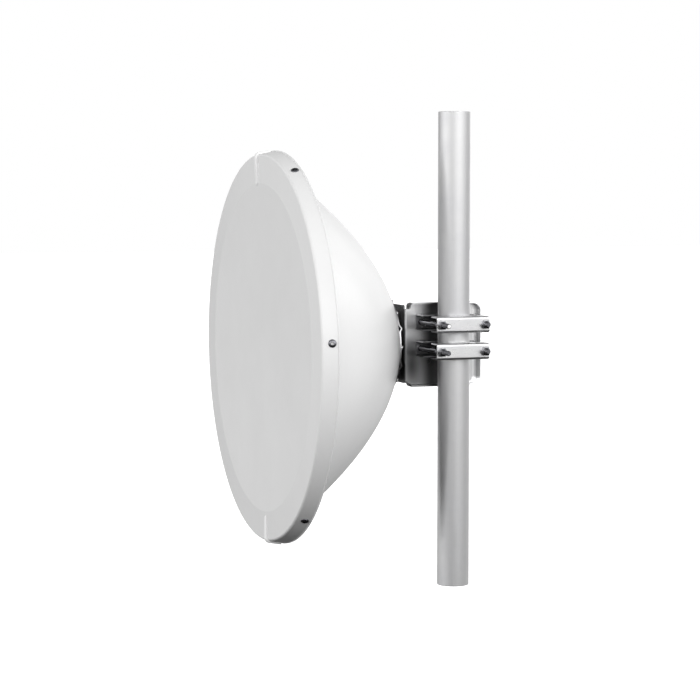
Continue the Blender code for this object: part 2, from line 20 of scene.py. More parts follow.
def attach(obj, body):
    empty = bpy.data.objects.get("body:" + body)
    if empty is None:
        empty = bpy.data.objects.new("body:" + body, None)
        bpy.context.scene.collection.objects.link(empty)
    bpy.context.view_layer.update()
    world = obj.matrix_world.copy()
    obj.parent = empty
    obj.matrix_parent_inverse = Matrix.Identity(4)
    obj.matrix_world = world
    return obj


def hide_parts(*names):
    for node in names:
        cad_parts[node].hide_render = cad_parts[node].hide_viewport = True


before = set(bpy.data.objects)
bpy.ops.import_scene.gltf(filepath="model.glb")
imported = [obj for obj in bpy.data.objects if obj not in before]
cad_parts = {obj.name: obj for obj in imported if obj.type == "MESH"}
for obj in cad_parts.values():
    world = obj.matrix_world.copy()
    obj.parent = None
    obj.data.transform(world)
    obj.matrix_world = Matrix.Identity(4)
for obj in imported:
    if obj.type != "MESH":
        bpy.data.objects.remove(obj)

LOG = logging.getLogger("dish_antenna")
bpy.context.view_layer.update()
BODY = "root"

Pair = tuple[float, float]
Triple = tuple[float, float, float]
Profile = list[Pair]
Object = bpy.types.Object
Node = bpy.types.Node
Socket = bpy.types.NodeSocket

GAP = 0.0003  # between pieces that touch on the real antenna
SAFE = 0.01  # keeps whole numbers in a node tree safe from rounding
WELD = 0.000002  # distance within which points are merged
FULL_TURN = 2.0 * pi
WHITE = (1.0, 1.0, 1.0, 1.0)
AHEAD = Vector((1.0, 0.0, 0.0))
BACK = Vector((0.0, 1.0, 0.0))
UPRIGHT = Matrix.Identity(4)  # for pieces built where they stand


class Wiring:
    """Adds nodes to a node tree and links them."""

    def __init__(self, tree: bpy.types.NodeTree) -> None:
        """Keep the tree that gets the nodes."""
        self.tree = tree

    def feed(self, socket: Socket, value: object) -> None:
        """Link a socket to another, or set its own value.

        Args:
            socket: Input socket.
            value: Output socket, or a plain value.
        """
        if isinstance(value, bpy.types.NodeSocket):
            self.tree.links.new(value, socket)
        else:
            socket.default_value = value

    def fill(self, node: Node, **named: object) -> None:
        """Feed inputs of a node by name, with underscores for spaces."""
        for title, value in named.items():
            self.feed(node.inputs[title.replace("_", " ")], value)

    def node(self, kind: str, *first: object, **named: object) -> Node:
        """Add a node, set it up and feed its inputs.

        Args:
            kind: Blender's name of the node type.
            *first: Sockets or values for the first inputs.
            **named: Settings in lower case, and inputs with a capital.

        Returns:
            The new node.
        """
        made = self.tree.nodes.new(kind)
        inputs = dict(named)
        for title in [title for title in named if title.islower()]:
            setattr(made, title, inputs.pop(title))
        for socket, value in zip(made.inputs, first):
            self.feed(socket, value)
        self.fill(made, **inputs)
        return made

    def out(self, kind: str, output: str, *first: object, **named: object) -> Socket:
        """Add a node as node() does and return one of its outputs."""
        return self.node(kind, *first, **named).outputs[output]

    def math(self, operation: str, *values: object) -> Socket:
        """Add a math node and return its result."""
        return self.out("ShaderNodeMath", "Value", *values, operation=operation)

    def ramp(self, value: Socket, kind: str = "LINEAR", **limits: float) -> Socket:
        """Map a value from one range to another and return the result."""
        limits.update(Value=value, interpolation_type=kind)
        return self.out("ShaderNodeMapRange", "Result", **limits)


class Coating(Wiring):
    """Adds nodes to a material, on the piece's own coordinates."""

    def __init__(self, tree: bpy.types.NodeTree) -> None:
        """Keep the tree and add the coordinates."""
        super().__init__(tree)
        self.place = self.out("ShaderNodeTexCoord", "Object")

    def mapped(self, scale: Triple, shift: Triple = (0.0, 0.0, 0.0)) -> Socket:
        """Return the coordinates, scaled and then shifted."""
        named = {"Location": shift, "Scale": scale}
        return self.out("ShaderNodeMapping", "Vector", self.place, **named)

    def noise(self, scale: Triple, detail: float) -> Socket:
        """Return a noise with so many repeats in one metre along each axis."""
        named = {"Scale": 1.0, "Detail": detail, "Roughness": 0.55}
        return self.out("ShaderNodeTexNoise", "Fac", self.mapped(scale), **named)

    def away(self, scale: Triple, shift: Triple) -> Socket:
        """Return the distance from the origin of mapped coordinates."""
        at = self.mapped(scale, shift)
        return self.out("ShaderNodeVectorMath", "Value", at, operation="LENGTH")


# ---------------------------------------------------------------- finishes


class Grain(Enum):
    """Kinds of fine texture, by their stretch along the grain."""

    EVEN = 1.0
    ROLLED = 0.06
    BRUSHED = 0.02


class Direction(Enum):
    """The object axis along which a rolled or brushed grain runs."""

    Y = 1
    Z = 2


@dataclass(frozen=True)
class Draft:
    """A band round the dish's axis that catches the light at its own slant."""

    x: float
    z: float
    start: float  # inner radius of the band
    end: float  # outer radius of the band
    slope: float  # fall of the band in its breadth


@dataclass(frozen=True)
class PaintedShade:
    """A patch of painted shade on a sheet that faces along X, or of painted highlight
    where its depth is below 0.
    """

    y: float
    z: float
    reach: Pair  # its reach along Y and along Z
    depth: float  # share of the colour darkened as painted shade, below 0 where it is brightened as a painted highlight
    core: float = 0.0  # share of the reach that is darkened all over


def grey(level: float, blue: float = 0.0) -> Triple:
    """Return a linear grey with a little added blue."""
    return (level, level, level + blue)


@dataclass(frozen=True)
class Finish:
    """One surface finish, built as a procedural node material."""

    name: str
    slot: str  # material slot of the record that the finish belongs to
    colour: Triple
    tint: Triple  # second colour that slow variation blends towards, linear
    roughness: Pair  # lowest and highest roughness
    metallic: float = 1.0  # 1 for bare metal and 0 for paint or plastic
    grain: Grain = Grain.EVEN  # kind of fine texture
    direction: Direction = Direction.Z  # axis along which the grain runs
    grain_scale: float = 1500.0  # repeats of the grain in one metre
    bump: float = 0.00002  # height of the grain in metres
    mottle_scale: float = 9.0  # repeats of the slow variation in one metre
    anisotropy: float = 0.0  # stretch of the highlight across the grain
    draft: Draft | None = None  # band that slants a little more than its mesh
    painted_shades: tuple[PaintedShade, ...] = ()  # patches of painted shade and painted highlight

    def material(self) -> bpy.types.Material:
        """Return the finish's material, built once.

        Returns:
            The node material.
        """
        made = bpy.data.materials.get(self.name)
        if made is not None:
            return made
        made = bpy.data.materials.new(self.name)
        made.use_nodes = True
        web = Coating(made.node_tree)
        scales = [self.grain_scale] * 3
        scales[self.direction.value] *= self.grain.value
        slow, fine = web.noise([self.mottle_scale] * 3, 4.0), web.noise(scales, 3.0)
        bump = web.node("ShaderNodeBump", Height=fine, Strength=1.0, Distance=self.bump)
        if self.draft is not None:
            web.fill(bump, Normal=self._slant(web, self.draft))
        both = web.math("ADD", slow, fine)
        limits = dict(zip(("To_Min", "To_Max"), self.roughness))
        web.fill(
            made.node_tree.nodes["Principled BSDF"],
            Base_Color=self._colour(web, slow, fine),
            Roughness=web.ramp(both, From_Min=0.7, From_Max=1.3, **limits),
            Normal=bump.outputs["Normal"],
            Metallic=self.metallic,
            Anisotropic=self.anisotropy,
        )
        return made

    def _colour(self, web: Coating, slow: Socket, fine: Socket) -> Socket:
        """Blend the two colours by both noises and add the patches of painted shade and
        highlight.

        Args:
            web: Wiring of the material.
            slow: Noise of the slow variation.
            fine: Noise of the fine texture.

        Returns:
            The colour.
        """
        total = web.math("MULTIPLY_ADD", fine, 0.35, slow)
        colour = web.out(
            "ShaderNodeMix",
            "Result",
            data_type="RGBA",
            Factor=web.ramp(total, From_Min=0.45, From_Max=0.90),
            A=(*self.colour, 1.0),
            B=(*self.tint, 1.0),
        )
        # Each patch multiplies the colour: painted shade, or a painted highlight where
        # its depth is below 0.
        for shade_patch in self.painted_shades:
            wide, high = shade_patch.reach
            shift = (0.0, -shade_patch.y / wide, -shade_patch.z / high)
            away = web.away((0.0, 1.0 / wide, 1.0 / high), shift)
            left = 1.0 - shade_patch.depth
            fade = web.ramp(away, "SMOOTHSTEP", From_Min=shade_patch.core, To_Min=left)
            kind, mode = "ShaderNodeVectorMath", "MULTIPLY"
            colour = web.out(kind, "Vector", colour, fade, operation=mode)
        return colour

    def _slant(self, web: Coating, draft: Draft) -> Socket:
        """Slant the normals of a band round the dish's axis.

        Args:
            web: Wiring of the material.
            draft: The band.

        Returns:
            The slanted normal.
        """
        away = web.away((1.0, 0.0, 1.0), (-draft.x, 0.0, -draft.z))
        fall = web.ramp(away, From_Min=draft.start, From_Max=draft.end, To_Max=-1.0)
        reach = draft.slope * (draft.end - draft.start)
        return web.out("ShaderNodeBump", "Normal", Height=fall, Distance=reach)


COVER_PLASTIC = Finish(
    "moulded_cover",
    "cover_plastic",
    grey(0.575),
    grey(0.555),
    (0.34, 0.42),
    metallic=0.0,
    grain_scale=900.0,
    bump=0.00003,
    draft=Draft(-0.117, 0.382, 0.2640, 0.3070, 0.12),
)
# Same plastic as the cover, made lighter as a painted highlight on the moulded marks.
LIT_MARK_PLASTIC = replace(
    COVER_PLASTIC, name="mark_painted_highlight", colour=grey(0.66), tint=grey(0.64), draft=None
)
REFLECTOR_PAINT = Finish(
    "powder_coat",
    "reflector_paint",
    grey(0.62),
    grey(0.60),
    (0.30, 0.36),
    metallic=0.0,
    grain_scale=240.0,
    bump=0.0,
)
HUB_STEEL = Finish(
    "pressed_hub_sheet",
    "hub_steel",
    grey(0.52),
    grey(0.44, 0.01),
    (0.24, 0.36),
    grain=Grain.ROLLED,
    grain_scale=700.0,
)
BRACKET_STEEL = Finish(
    "polished_bracket_sheet",
    "bracket_steel",
    grey(0.64),
    grey(0.52, 0.01),
    (0.27, 0.34),
    grain=Grain.BRUSHED,
    grain_scale=900.0,
    mottle_scale=14.0,
    anisotropy=0.4,
    # Painted shade: the lower front of the plate, the dark reflection of the pole, the
    # strip by the rear lip and the two front corners; the patch with depth below 0 is a
    # painted highlight by the rear lip.
    painted_shades=(
        PaintedShade(-0.052, 0.352, (0.036, 0.085), 0.9),
        PaintedShade(0.0, 0.380, (0.041, 0.300), 0.82, 0.45),
        PaintedShade(0.0645, 0.386, (0.0040, 0.300), 0.5, 0.3),
        PaintedShade(0.0575, 0.386, (0.0050, 0.300), -0.5, 0.4),
        PaintedShade(-0.0617, 0.4520, (0.0065, 0.0100), 0.85, 0.4),
        PaintedShade(-0.0617, 0.3200, (0.0065, 0.0080), 0.85, 0.4),
    ),
)
CLAMP_STEEL = Finish(
    "plated_clamp_sheet",
    "clamp_steel",
    grey(0.63),
    grey(0.52, 0.01),
    (0.24, 0.36),
    grain=Grain.ROLLED,
    direction=Direction.Y,
    grain_scale=800.0,
    mottle_scale=60.0,
)
# Same plated metal as the front channels, darkened as painted shade for the rear
# channels between the pole and the plate.
SHADED_REAR_STEEL = replace(
    CLAMP_STEEL, name="rear_channel_painted_shade", colour=grey(0.22), tint=grey(0.15, 0.01)
)
WASHER_STEEL = replace(CLAMP_STEEL, name="plated_washer", slot="bolt_steel")
BOLT_STEEL = Finish(
    "plated_bolt",
    "bolt_steel",
    grey(0.18, 0.01),
    grey(0.11, 0.01),
    (0.14, 0.24),
    mottle_scale=200.0,
)
SCREW_STEEL = replace(
    BOLT_STEEL,
    name="dark_pan_screw",
    slot="screw_steel",
    colour=grey(0.14, 0.01),
    tint=grey(0.09, 0.01),
    roughness=(0.18, 0.26),
)
# The lips' real sheared edge, coloured near white as a painted highlight.
EDGE_HIGHLIGHT_STEEL = Finish(
    "bracket_edge_painted_highlight",
    "bracket_steel",
    grey(0.95),
    grey(0.90),
    (0.50, 0.60),
    metallic=0.6,
    bump=0.0,
)
# A near-white mirror disc on a real cut stud end, a painted glint.
GLINT_STEEL = Finish(
    "bolt_end_painted_glint", "bolt_steel", grey(0.86), grey(0.80), (0.06, 0.10), bump=0.0
)
POLE_STEEL = Finish(
    "drawn_pole_tube",
    "pole_steel",
    grey(0.52),
    grey(0.46, 0.01),
    (0.30, 0.42),
    grain=Grain.BRUSHED,
    grain_scale=1100.0,
    mottle_scale=20.0,
)


# ------------------------------------------------------------- mesh helpers


def new_object(name: str, bm: bmesh.types.BMesh) -> Object:
    """Turn a bmesh into a scene object whose faces look outward.

    Args:
        name: Name of the object.
        bm: Mesh data; it is freed.

    Returns:
        The new object, at the origin.
    """
    bmesh.ops.recalc_face_normals(bm, faces=bm.faces[:])
    mesh = bpy.data.meshes.new(name)
    bm.to_mesh(mesh)
    bm.free()
    obj = bpy.data.objects.new(name, mesh)
    bpy.context.scene.collection.objects.link(obj)
    return obj


def freeze(obj: Object) -> Object:
    """Apply every modifier of an object to its mesh.

    Args:
        obj: Object with modifiers.

    Returns:
        The same object with a plain mesh.
    """
    bpy.context.view_layer.update()
    graph = bpy.context.evaluated_depsgraph_get()
    mesh = bpy.data.meshes.new_from_object(obj.evaluated_get(graph))
    obj.modifiers.clear()
    old, obj.data = obj.data, mesh
    bpy.data.meshes.remove(old)
    return obj


def settle(obj: Object, place: Matrix) -> Object:
    """Move a mesh to its place and turn its faces outward.

    Args:
        obj: Object at the origin.
        place: Matrix from the local frame to the row frame.

    Returns:
        The same object.
    """
    obj.data.transform(place)
    bm = bmesh.new()
    bm.from_mesh(obj.data)
    bmesh.ops.dissolve_degenerate(bm, dist=0.0000005, edges=bm.edges[:])
    bmesh.ops.recalc_face_normals(bm, faces=bm.faces[:])
    bm.to_mesh(obj.data)
    bm.free()
    return obj


def join(name: str, pieces: list[Object]) -> Object:
    """Join several meshes that are all in place into one object.

    Args:
        name: Name of the joined object.
        pieces: Objects to join; they are removed.

    Returns:
        The joined object.
    """
    bm = bmesh.new()
    for piece in pieces:
        bm.from_mesh(piece.data)
        bpy.data.objects.remove(piece, do_unlink=True)
    return new_object(name, bm)


def boolean(obj: Object, tool: Object, operation: str) -> Object:
    """Apply one exact Boolean and remove the object it used.

    Args:
        obj: Object that is changed.
        tool: Object that is added, cut away or kept in common.
        operation: DIFFERENCE, UNION or INTERSECT.

    Returns:
        The changed object.
    """
    modifier = obj.modifiers.new("shape", "BOOLEAN")
    modifier.operation = operation
    modifier.solver = "EXACT"
    modifier.object = tool
    freeze(obj)
    bpy.data.objects.remove(tool, do_unlink=True)
    return obj


def soften(obj: Object, width: float, segments: int = 2) -> None:
    """Round the sharp edges of an object and apply the result.

    Args:
        obj: Object that is changed.
        width: Width of the rounding.
        segments: Faces across the rounding.
    """
    modifier = obj.modifiers.new("edges", "BEVEL")
    modifier.width = width
    modifier.segments = segments
    modifier.limit_method = "ANGLE"
    modifier.angle_limit = radians(40.0)
    modifier.use_clamp_overlap = True
    freeze(obj)


def dress(
    obj: Object, finish: Finish, replaced: list[str], angle: float = 32.0
) -> None:
    """Give a finished piece its material, its shading and its body.

    Args:
        obj: Piece with its place in its mesh.
        finish: Finish of the whole piece.
        replaced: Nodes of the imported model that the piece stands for.
        angle: Edges sharper than this many degrees stay crisp.
    """
    obj.data.materials.clear()
    obj.data.materials.append(finish.material())
    obj.data.shade_smooth()
    obj.data.set_sharp_from_angle(angle=radians(angle))
    flat = obj.modifiers.new("flat_shading", "WEIGHTED_NORMAL")
    flat.keep_sharp = True
    flat.weight = 100
    freeze(obj)
    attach(obj, BODY)
    if replaced:
        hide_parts(*replaced)
    LOG.info("%s: %d faces", obj.name, len(obj.data.polygons))


def bridge(
    bm: bmesh.types.BMesh,
    first: list[bmesh.types.BMVert],
    second: list[bmesh.types.BMVert],
) -> None:
    """Join two closed rings that have the same number of points.

    Args:
        bm: Mesh that gets the faces.
        first: First ring.
        second: Second ring.
    """
    for step, (one, two) in enumerate(zip(first, second)):
        after = (step + 1) % len(first)
        bm.faces.new([one, first[after], second[after], two])


def loft(name: str, rings: list[list[Triple]], looped: bool = False) -> Object:
    """Build a closed skin over a row of rings.

    Args:
        name: Name of the object.
        rings: Points of each ring.
        looped: True to join the last ring to the first, False to cap both.

    Returns:
        The new object.
    """
    bm = bmesh.new()
    made = [[bm.verts.new(point) for point in ring] for ring in rings]
    after = made[1:] + made[:1] if looped else made[1:]
    for first, second in zip(made, after):
        bridge(bm, first, second)
    if not looped:
        bm.faces.new(made[0])
        bm.faces.new(made[-1])
    return new_object(name, bm)


def prism(
    name: str, outline: Profile, low: float, high: float, place: Matrix = UPRIGHT
) -> Object:
    """Build a closed prism over an outline, from low to high along local Z."""
    ends = (low, high)
    return loft(name, [[place @ Vector((x, y, z)) for x, y in outline] for z in ends])


def cut(
    obj: Object, outline: Profile, low: float, high: float, place: Matrix = UPRIGHT
) -> None:
    """Cut a prism, given as for prism(), out of an object."""
    boolean(obj, prism("tool", outline, low, high, place), "DIFFERENCE")


def drill(
    obj: Object, start: Triple, direction: Vector, radius: float, depth: float
) -> None:
    """Cut a round hole that runs from a start in a direction."""
    ring = arc((0.0, 0.0), radius, 0.0, 345.0, 23)
    cut(obj, ring, 0.0, depth, axis_place(start, direction))


def axis_place(origin: Triple, direction: Vector, spin: float = 0.0) -> Matrix:
    """Return a frame whose +Z runs along a direction, spun round it in radians."""
    turn = direction.to_track_quat("Z", "Y").to_matrix().to_4x4()
    return Matrix.Translation(origin) @ turn @ Matrix.Rotation(spin, 4, "Z")


def arc(centre: Pair, radius: float, start: float, end: float, steps: int) -> Profile:
    """Return the points of an arc between two angles in degrees."""
    turns = [radians(start + (end - start) * step / steps) for step in range(steps + 1)]
    return [(centre[0] + radius * cos(a), centre[1] + radius * sin(a)) for a in turns]


def rectangle(low: Pair, high: Pair) -> Profile:
    """Return the corners of a rectangle from its lowest and highest one."""
    return [low, (high[0], low[1]), high, (low[0], high[1])]


def rounded_box(
    low: Pair,
    high: Pair,
    right: tuple[float, int],
    left: tuple[float, int] | None = None,
) -> Profile:
    """Return the outline of a rectangle with rounded corners.

    Args:
        low: Lowest corner.
        high: Highest corner.
        right: Radius and segments of the corners at the high end of X.
        left: The same at the low end, by default as on the right.

    Returns:
        The outline points, anticlockwise.
    """
    points: Profile = []
    for start, is_right, is_top in ((-90, 1, 0), (0, 1, 1), (90, 0, 1), (180, 0, 0)):
        radius, steps = right if is_right else left or right
        x = high[0] - radius if is_right else low[0] + radius
        y = high[1] - radius if is_top else low[1] + radius
        points += arc((x, y), radius, start, start + 90.0, steps)
    return points


# --------------------------------------------------------------- node trees


class NodeTree(Wiring):
    """One Geometry Nodes tree with named inputs for its sizes."""

    def __init__(self, name: str, **sizes: float) -> None:
        """Start a tree with a geometry, its sizes and a finish as inputs.

        Args:
            name: Name of the tree.
            **sizes: Default of each size; a whole number makes a whole input.
        """
        super().__init__(bpy.data.node_groups.new(name, "GeometryNodeTree"))
        self.identifiers: dict[str, str] = {}
        self._input("Geometry", "Geometry")
        for title, default in sizes.items():
            socket = self._input(title, "Int" if isinstance(default, int) else "Float")
            socket.default_value = default
        self._input("Finish", "Material")
        self.tree.interface.new_socket(
            "Geometry", in_out="OUTPUT", socket_type="NodeSocketGeometry"
        )
        self.given = self.tree.nodes.new("NodeGroupInput").outputs

    def _input(self, title: str, kind: str) -> bpy.types.NodeTreeInterfaceSocket:
        """Add one named input and note its identifier.

        Args:
            title: Name of the input.
            kind: Last part of its socket type.

        Returns:
            The socket of the tree's interface.
        """
        socket = self.tree.interface.new_socket(
            title, in_out="INPUT", socket_type=f"NodeSocket{kind}"
        )
        self.identifiers[title] = socket.identifier
        return socket

    def close(self, geometry: Socket) -> None:
        """End the tree in Realize Instances and Set Material.

        Args:
            geometry: Geometry that the tree gives.
        """
        real = self.out("GeometryNodeRealizeInstances", "Geometry", geometry)
        finish = self.given["Finish"]
        kind = "GeometryNodeSetMaterial"
        painted = self.out(kind, "Geometry", real, Material=finish)
        self.node("NodeGroupOutput", painted)

    def apply(
        self, obj: Object, place: Matrix, finish: Finish, **sizes: float
    ) -> Object:
        """Run the tree on an object and keep the result as a plain mesh.

        Args:
            obj: Object whose mesh the tree reads.
            place: Matrix from the local frame to the row frame.
            finish: Finish whose material the tree sets.
            **sizes: Input values by name.

        Returns:
            The same object with its new mesh, in its place.
        """
        modifier = obj.modifiers.new(self.tree.name, "NODES")
        modifier.node_group = self.tree
        for title, value in {**sizes, "Finish": finish.material()}.items():
            modifier[self.identifiers[title]] = value
        return settle(freeze(obj), place)


class WoundTree(NodeTree):
    """A tree that winds a grid round the local Z axis."""

    def number(self, rows: Socket) -> tuple[Socket, Socket]:
        """Add the grid and number its points.

        Args:
            rows: Number of rings.

        Returns:
            Each point's row, and its place in the turn from 0 to 1.
        """
        sides, math = self.given["Sides"], self.math
        columns = math("ADD", sides, 1.0)
        kind = "GeometryNodeMeshGrid"
        self.grid = self.out(kind, "Mesh", Vertices_X=rows, Vertices_Y=columns)
        index = self.out("GeometryNodeInputIndex", "Index")
        row = math("FLOOR", math("DIVIDE", math("ADD", index, SAFE), columns))
        column = math("SUBTRACT", index, math("MULTIPLY", row, columns))
        return row, math("DIVIDE", column, sides)

    def wind(self, radius: Socket, share: Socket, height: Socket) -> None:
        """Move the points to their rings, weld the seam and end the tree.

        Args:
            radius: Distance from the axis.
            share: Place in the turn from 0 to 1.
            height: Height along the axis.
        """
        angle = self.math("MULTIPLY", share, FULL_TURN)
        x = self.math("MULTIPLY", radius, self.math("COSINE", angle))
        y = self.math("MULTIPLY", radius, self.math("SINE", angle))
        point = self.out("ShaderNodeCombineXYZ", "Vector", x, y, height)
        kinds = ("GeometryNodeSetPosition", "GeometryNodeMergeByDistance")
        moved = self.out(kinds[0], "Geometry", self.grid, Position=point)
        self.close(self.out(kinds[1], "Geometry", moved, Distance=WELD))


class RevolveTree(WoundTree):
    """Turns a closed profile of (radius, height) points into a solid."""

    def __init__(self) -> None:
        """Build the tree: a grid whose points follow the turned profile."""
        super().__init__("turned_profile", Rows=4, Sides=64)
        rows = self.given["Rows"]
        row, share = self.number(self.math("ADD", rows, 1.0))
        wrapped = self.math("MODULO", self.math("ADD", row, SAFE), rows)
        spot = self.out(
            "GeometryNodeSampleIndex",
            "Value",
            data_type="FLOAT_VECTOR",
            Geometry=self.given["Geometry"],
            Value=self.out("GeometryNodeInputPosition", "Position"),
            Index=self.math("FLOOR", wrapped),
        )
        parts = self.node("ShaderNodeSeparateXYZ", spot).outputs
        self.wind(parts["X"], share, parts["Y"])

    def turn(
        self,
        name: str,
        profile: Profile,
        sides: int,
        finish: Finish,
        place: Matrix = UPRIGHT,
    ) -> Object:
        """Build one turned piece.

        Args:
            name: Name of the piece.
            profile: Closed profile of (radius, height) points.
            sides: Faces round the axis.
            finish: Finish whose material the tree sets.
            place: Matrix from the local frame, axis along +Z, to the row frame.

        Returns:
            The piece, with its place in its mesh.
        """
        bm = bmesh.new()
        for radius, height in profile:
            bm.verts.new((radius, height, 0.0))
        obj = new_object(name, bm)
        return self.apply(obj, place, finish, Rows=len(profile), Sides=sides)


class RingTree(NodeTree):
    """Repeats a piece round the local Z axis."""

    def __init__(self) -> None:
        """Build the tree: one instance for each point of a short line."""
        super().__init__("ring_of_copies", Count=6, Phase=0.0)
        count, nowhere = self.given["Count"], (0.0, 0.0, 0.0)
        line = self.out("GeometryNodeMeshLine", "Mesh", Count=count, Offset=nowhere)
        index = self.out("GeometryNodeInputIndex", "Index")
        share = self.math("DIVIDE", index, count)
        turn = self.math("MULTIPLY_ADD", share, FULL_TURN, self.given["Phase"])
        copies = self.out(
            "GeometryNodeInstanceOnPoints",
            "Instances",
            Points=line,
            Instance=self.given["Geometry"],
            Rotation=self.out("ShaderNodeCombineXYZ", "Vector", 0.0, 0.0, turn),
        )
        self.close(copies)


class ThreadTree(WoundTree):
    """Makes a closed rod with a screw thread that ends in a chamfer."""

    pitch = 0.00125
    radius = 0.004
    depth = 0.00068
    rows_in_pitch = 6.0

    def __init__(self) -> None:
        """Build the tree: a grid wound into a rod with a helical ridge."""
        sizes = {"Length": 0.03, "Pitch": self.pitch}
        sizes.update(Radius=self.radius, Depth=self.depth)
        super().__init__("screw_thread", Rows=60, Sides=24, **sizes)
        rows, length, math = self.given["Rows"], self.given["Length"], self.math
        row, share = self.number(rows)
        # The first and the last row are the rod's ends, drawn in to a point.
        inner_rows = math("SUBTRACT", rows, 3.0)
        along = math("DIVIDE", math("SUBTRACT", row, 1.0), inner_rows)
        inside = math("MINIMUM", math("MAXIMUM", along, 0.0), 1.0)
        height = math("MULTIPLY", inside, length)
        turns = math("DIVIDE", height, self.given["Pitch"])
        wave = math("FRACT", math("SUBTRACT", turns, share))
        ridge = math("ABSOLUTE", math("MULTIPLY_ADD", wave, 2.0, -1.0))
        flank = math("SMOOTH_MIN", ridge, 0.85, 0.1)
        groove = math("MULTIPLY", flank, self.given["Depth"])
        radius = math("SUBTRACT", self.given["Radius"], groove)
        to_end = math("MULTIPLY", math("SUBTRACT", length, height), 0.9)
        shaped = math("MINIMUM", radius, math("ADD", to_end, 0.0030))
        is_first = math("LESS_THAN", row, 0.5)
        is_last = math("GREATER_THAN", row, math("SUBTRACT", rows, 1.5))
        kept = math("SUBTRACT", 1.0, math("ADD", is_first, is_last))
        self.wind(math("MULTIPLY", shaped, kept), share, height)

    def rod(self, name: str, length: float, place: Matrix) -> Object:
        """Build one threaded rod.

        Args:
            name: Name of the piece.
            length: Length of the rod.
            place: Matrix from the local frame, axis along +Z, to the row frame.

        Returns:
            The rod, with its place in its mesh.
        """
        rows = int(length / self.pitch * self.rows_in_pitch) + 3
        obj = new_object(name, bmesh.new())
        return self.apply(obj, place, BOLT_STEEL, Rows=rows, Length=length)


@dataclass(frozen=True)
class Workshop:
    """The trees that the sub-assemblies share."""

    turner: RevolveTree
    ring: RingTree
    threader: ThreadTree


# ----------------------------------------------------------- sub-assemblies


@dataclass
class SubAssembly:
    """A group of pieces that is made with the shared trees."""

    shop: Workshop


@dataclass(frozen=True)
class DishAxis:
    """The dish's axis, with depths counted back from the face's edge plane."""

    x: float = -0.117
    z: float = 0.382
    face_y: float = -0.289  # position of the face's edge plane along Y

    def place(self) -> Matrix:
        """Return the matrix from a frame with +Z along the depth."""
        turn = Matrix.Rotation(radians(-90.0), 4, "X")
        return Matrix.Translation((self.x, self.face_y, self.z)) @ turn

    def point(self, radius: float, depth: float, angle: float) -> Vector:
        """Return a point by radius, depth and angle, from +X towards +Z."""
        x, z = self.x + radius * cos(angle), self.z + radius * sin(angle)
        return Vector((x, self.face_y + depth, z))


AXIS = DishAxis()


@dataclass
class Pole(SubAssembly):
    """The round pole that carries everything."""

    radius: float = 0.0256
    wall: float = 0.003
    height: float = 0.760
    floor: float = 0.004  # thickness of the disc that closes the lower end
    edge: float = 0.0008  # rounding of the cut edges

    def build(self) -> None:
        """Build the pole."""
        inner, half = self.radius - self.wall, self.edge / 2.0
        corner, top = self.radius - self.edge, self.height - self.edge
        profile = [(0.0, 0.0)]
        profile += arc((corner, self.edge), self.edge, -90, 0, 4)
        profile += arc((corner, top), self.edge, 0, 90, 4)
        profile += arc((inner + half, self.height - half), half, 90, 180, 3)
        profile += [(inner, self.floor), (0.0, self.floor)]
        pole = self.shop.turner.turn("pole_tube", profile, 160, POLE_STEEL)
        dress(pole, POLE_STEEL, ["pole"])


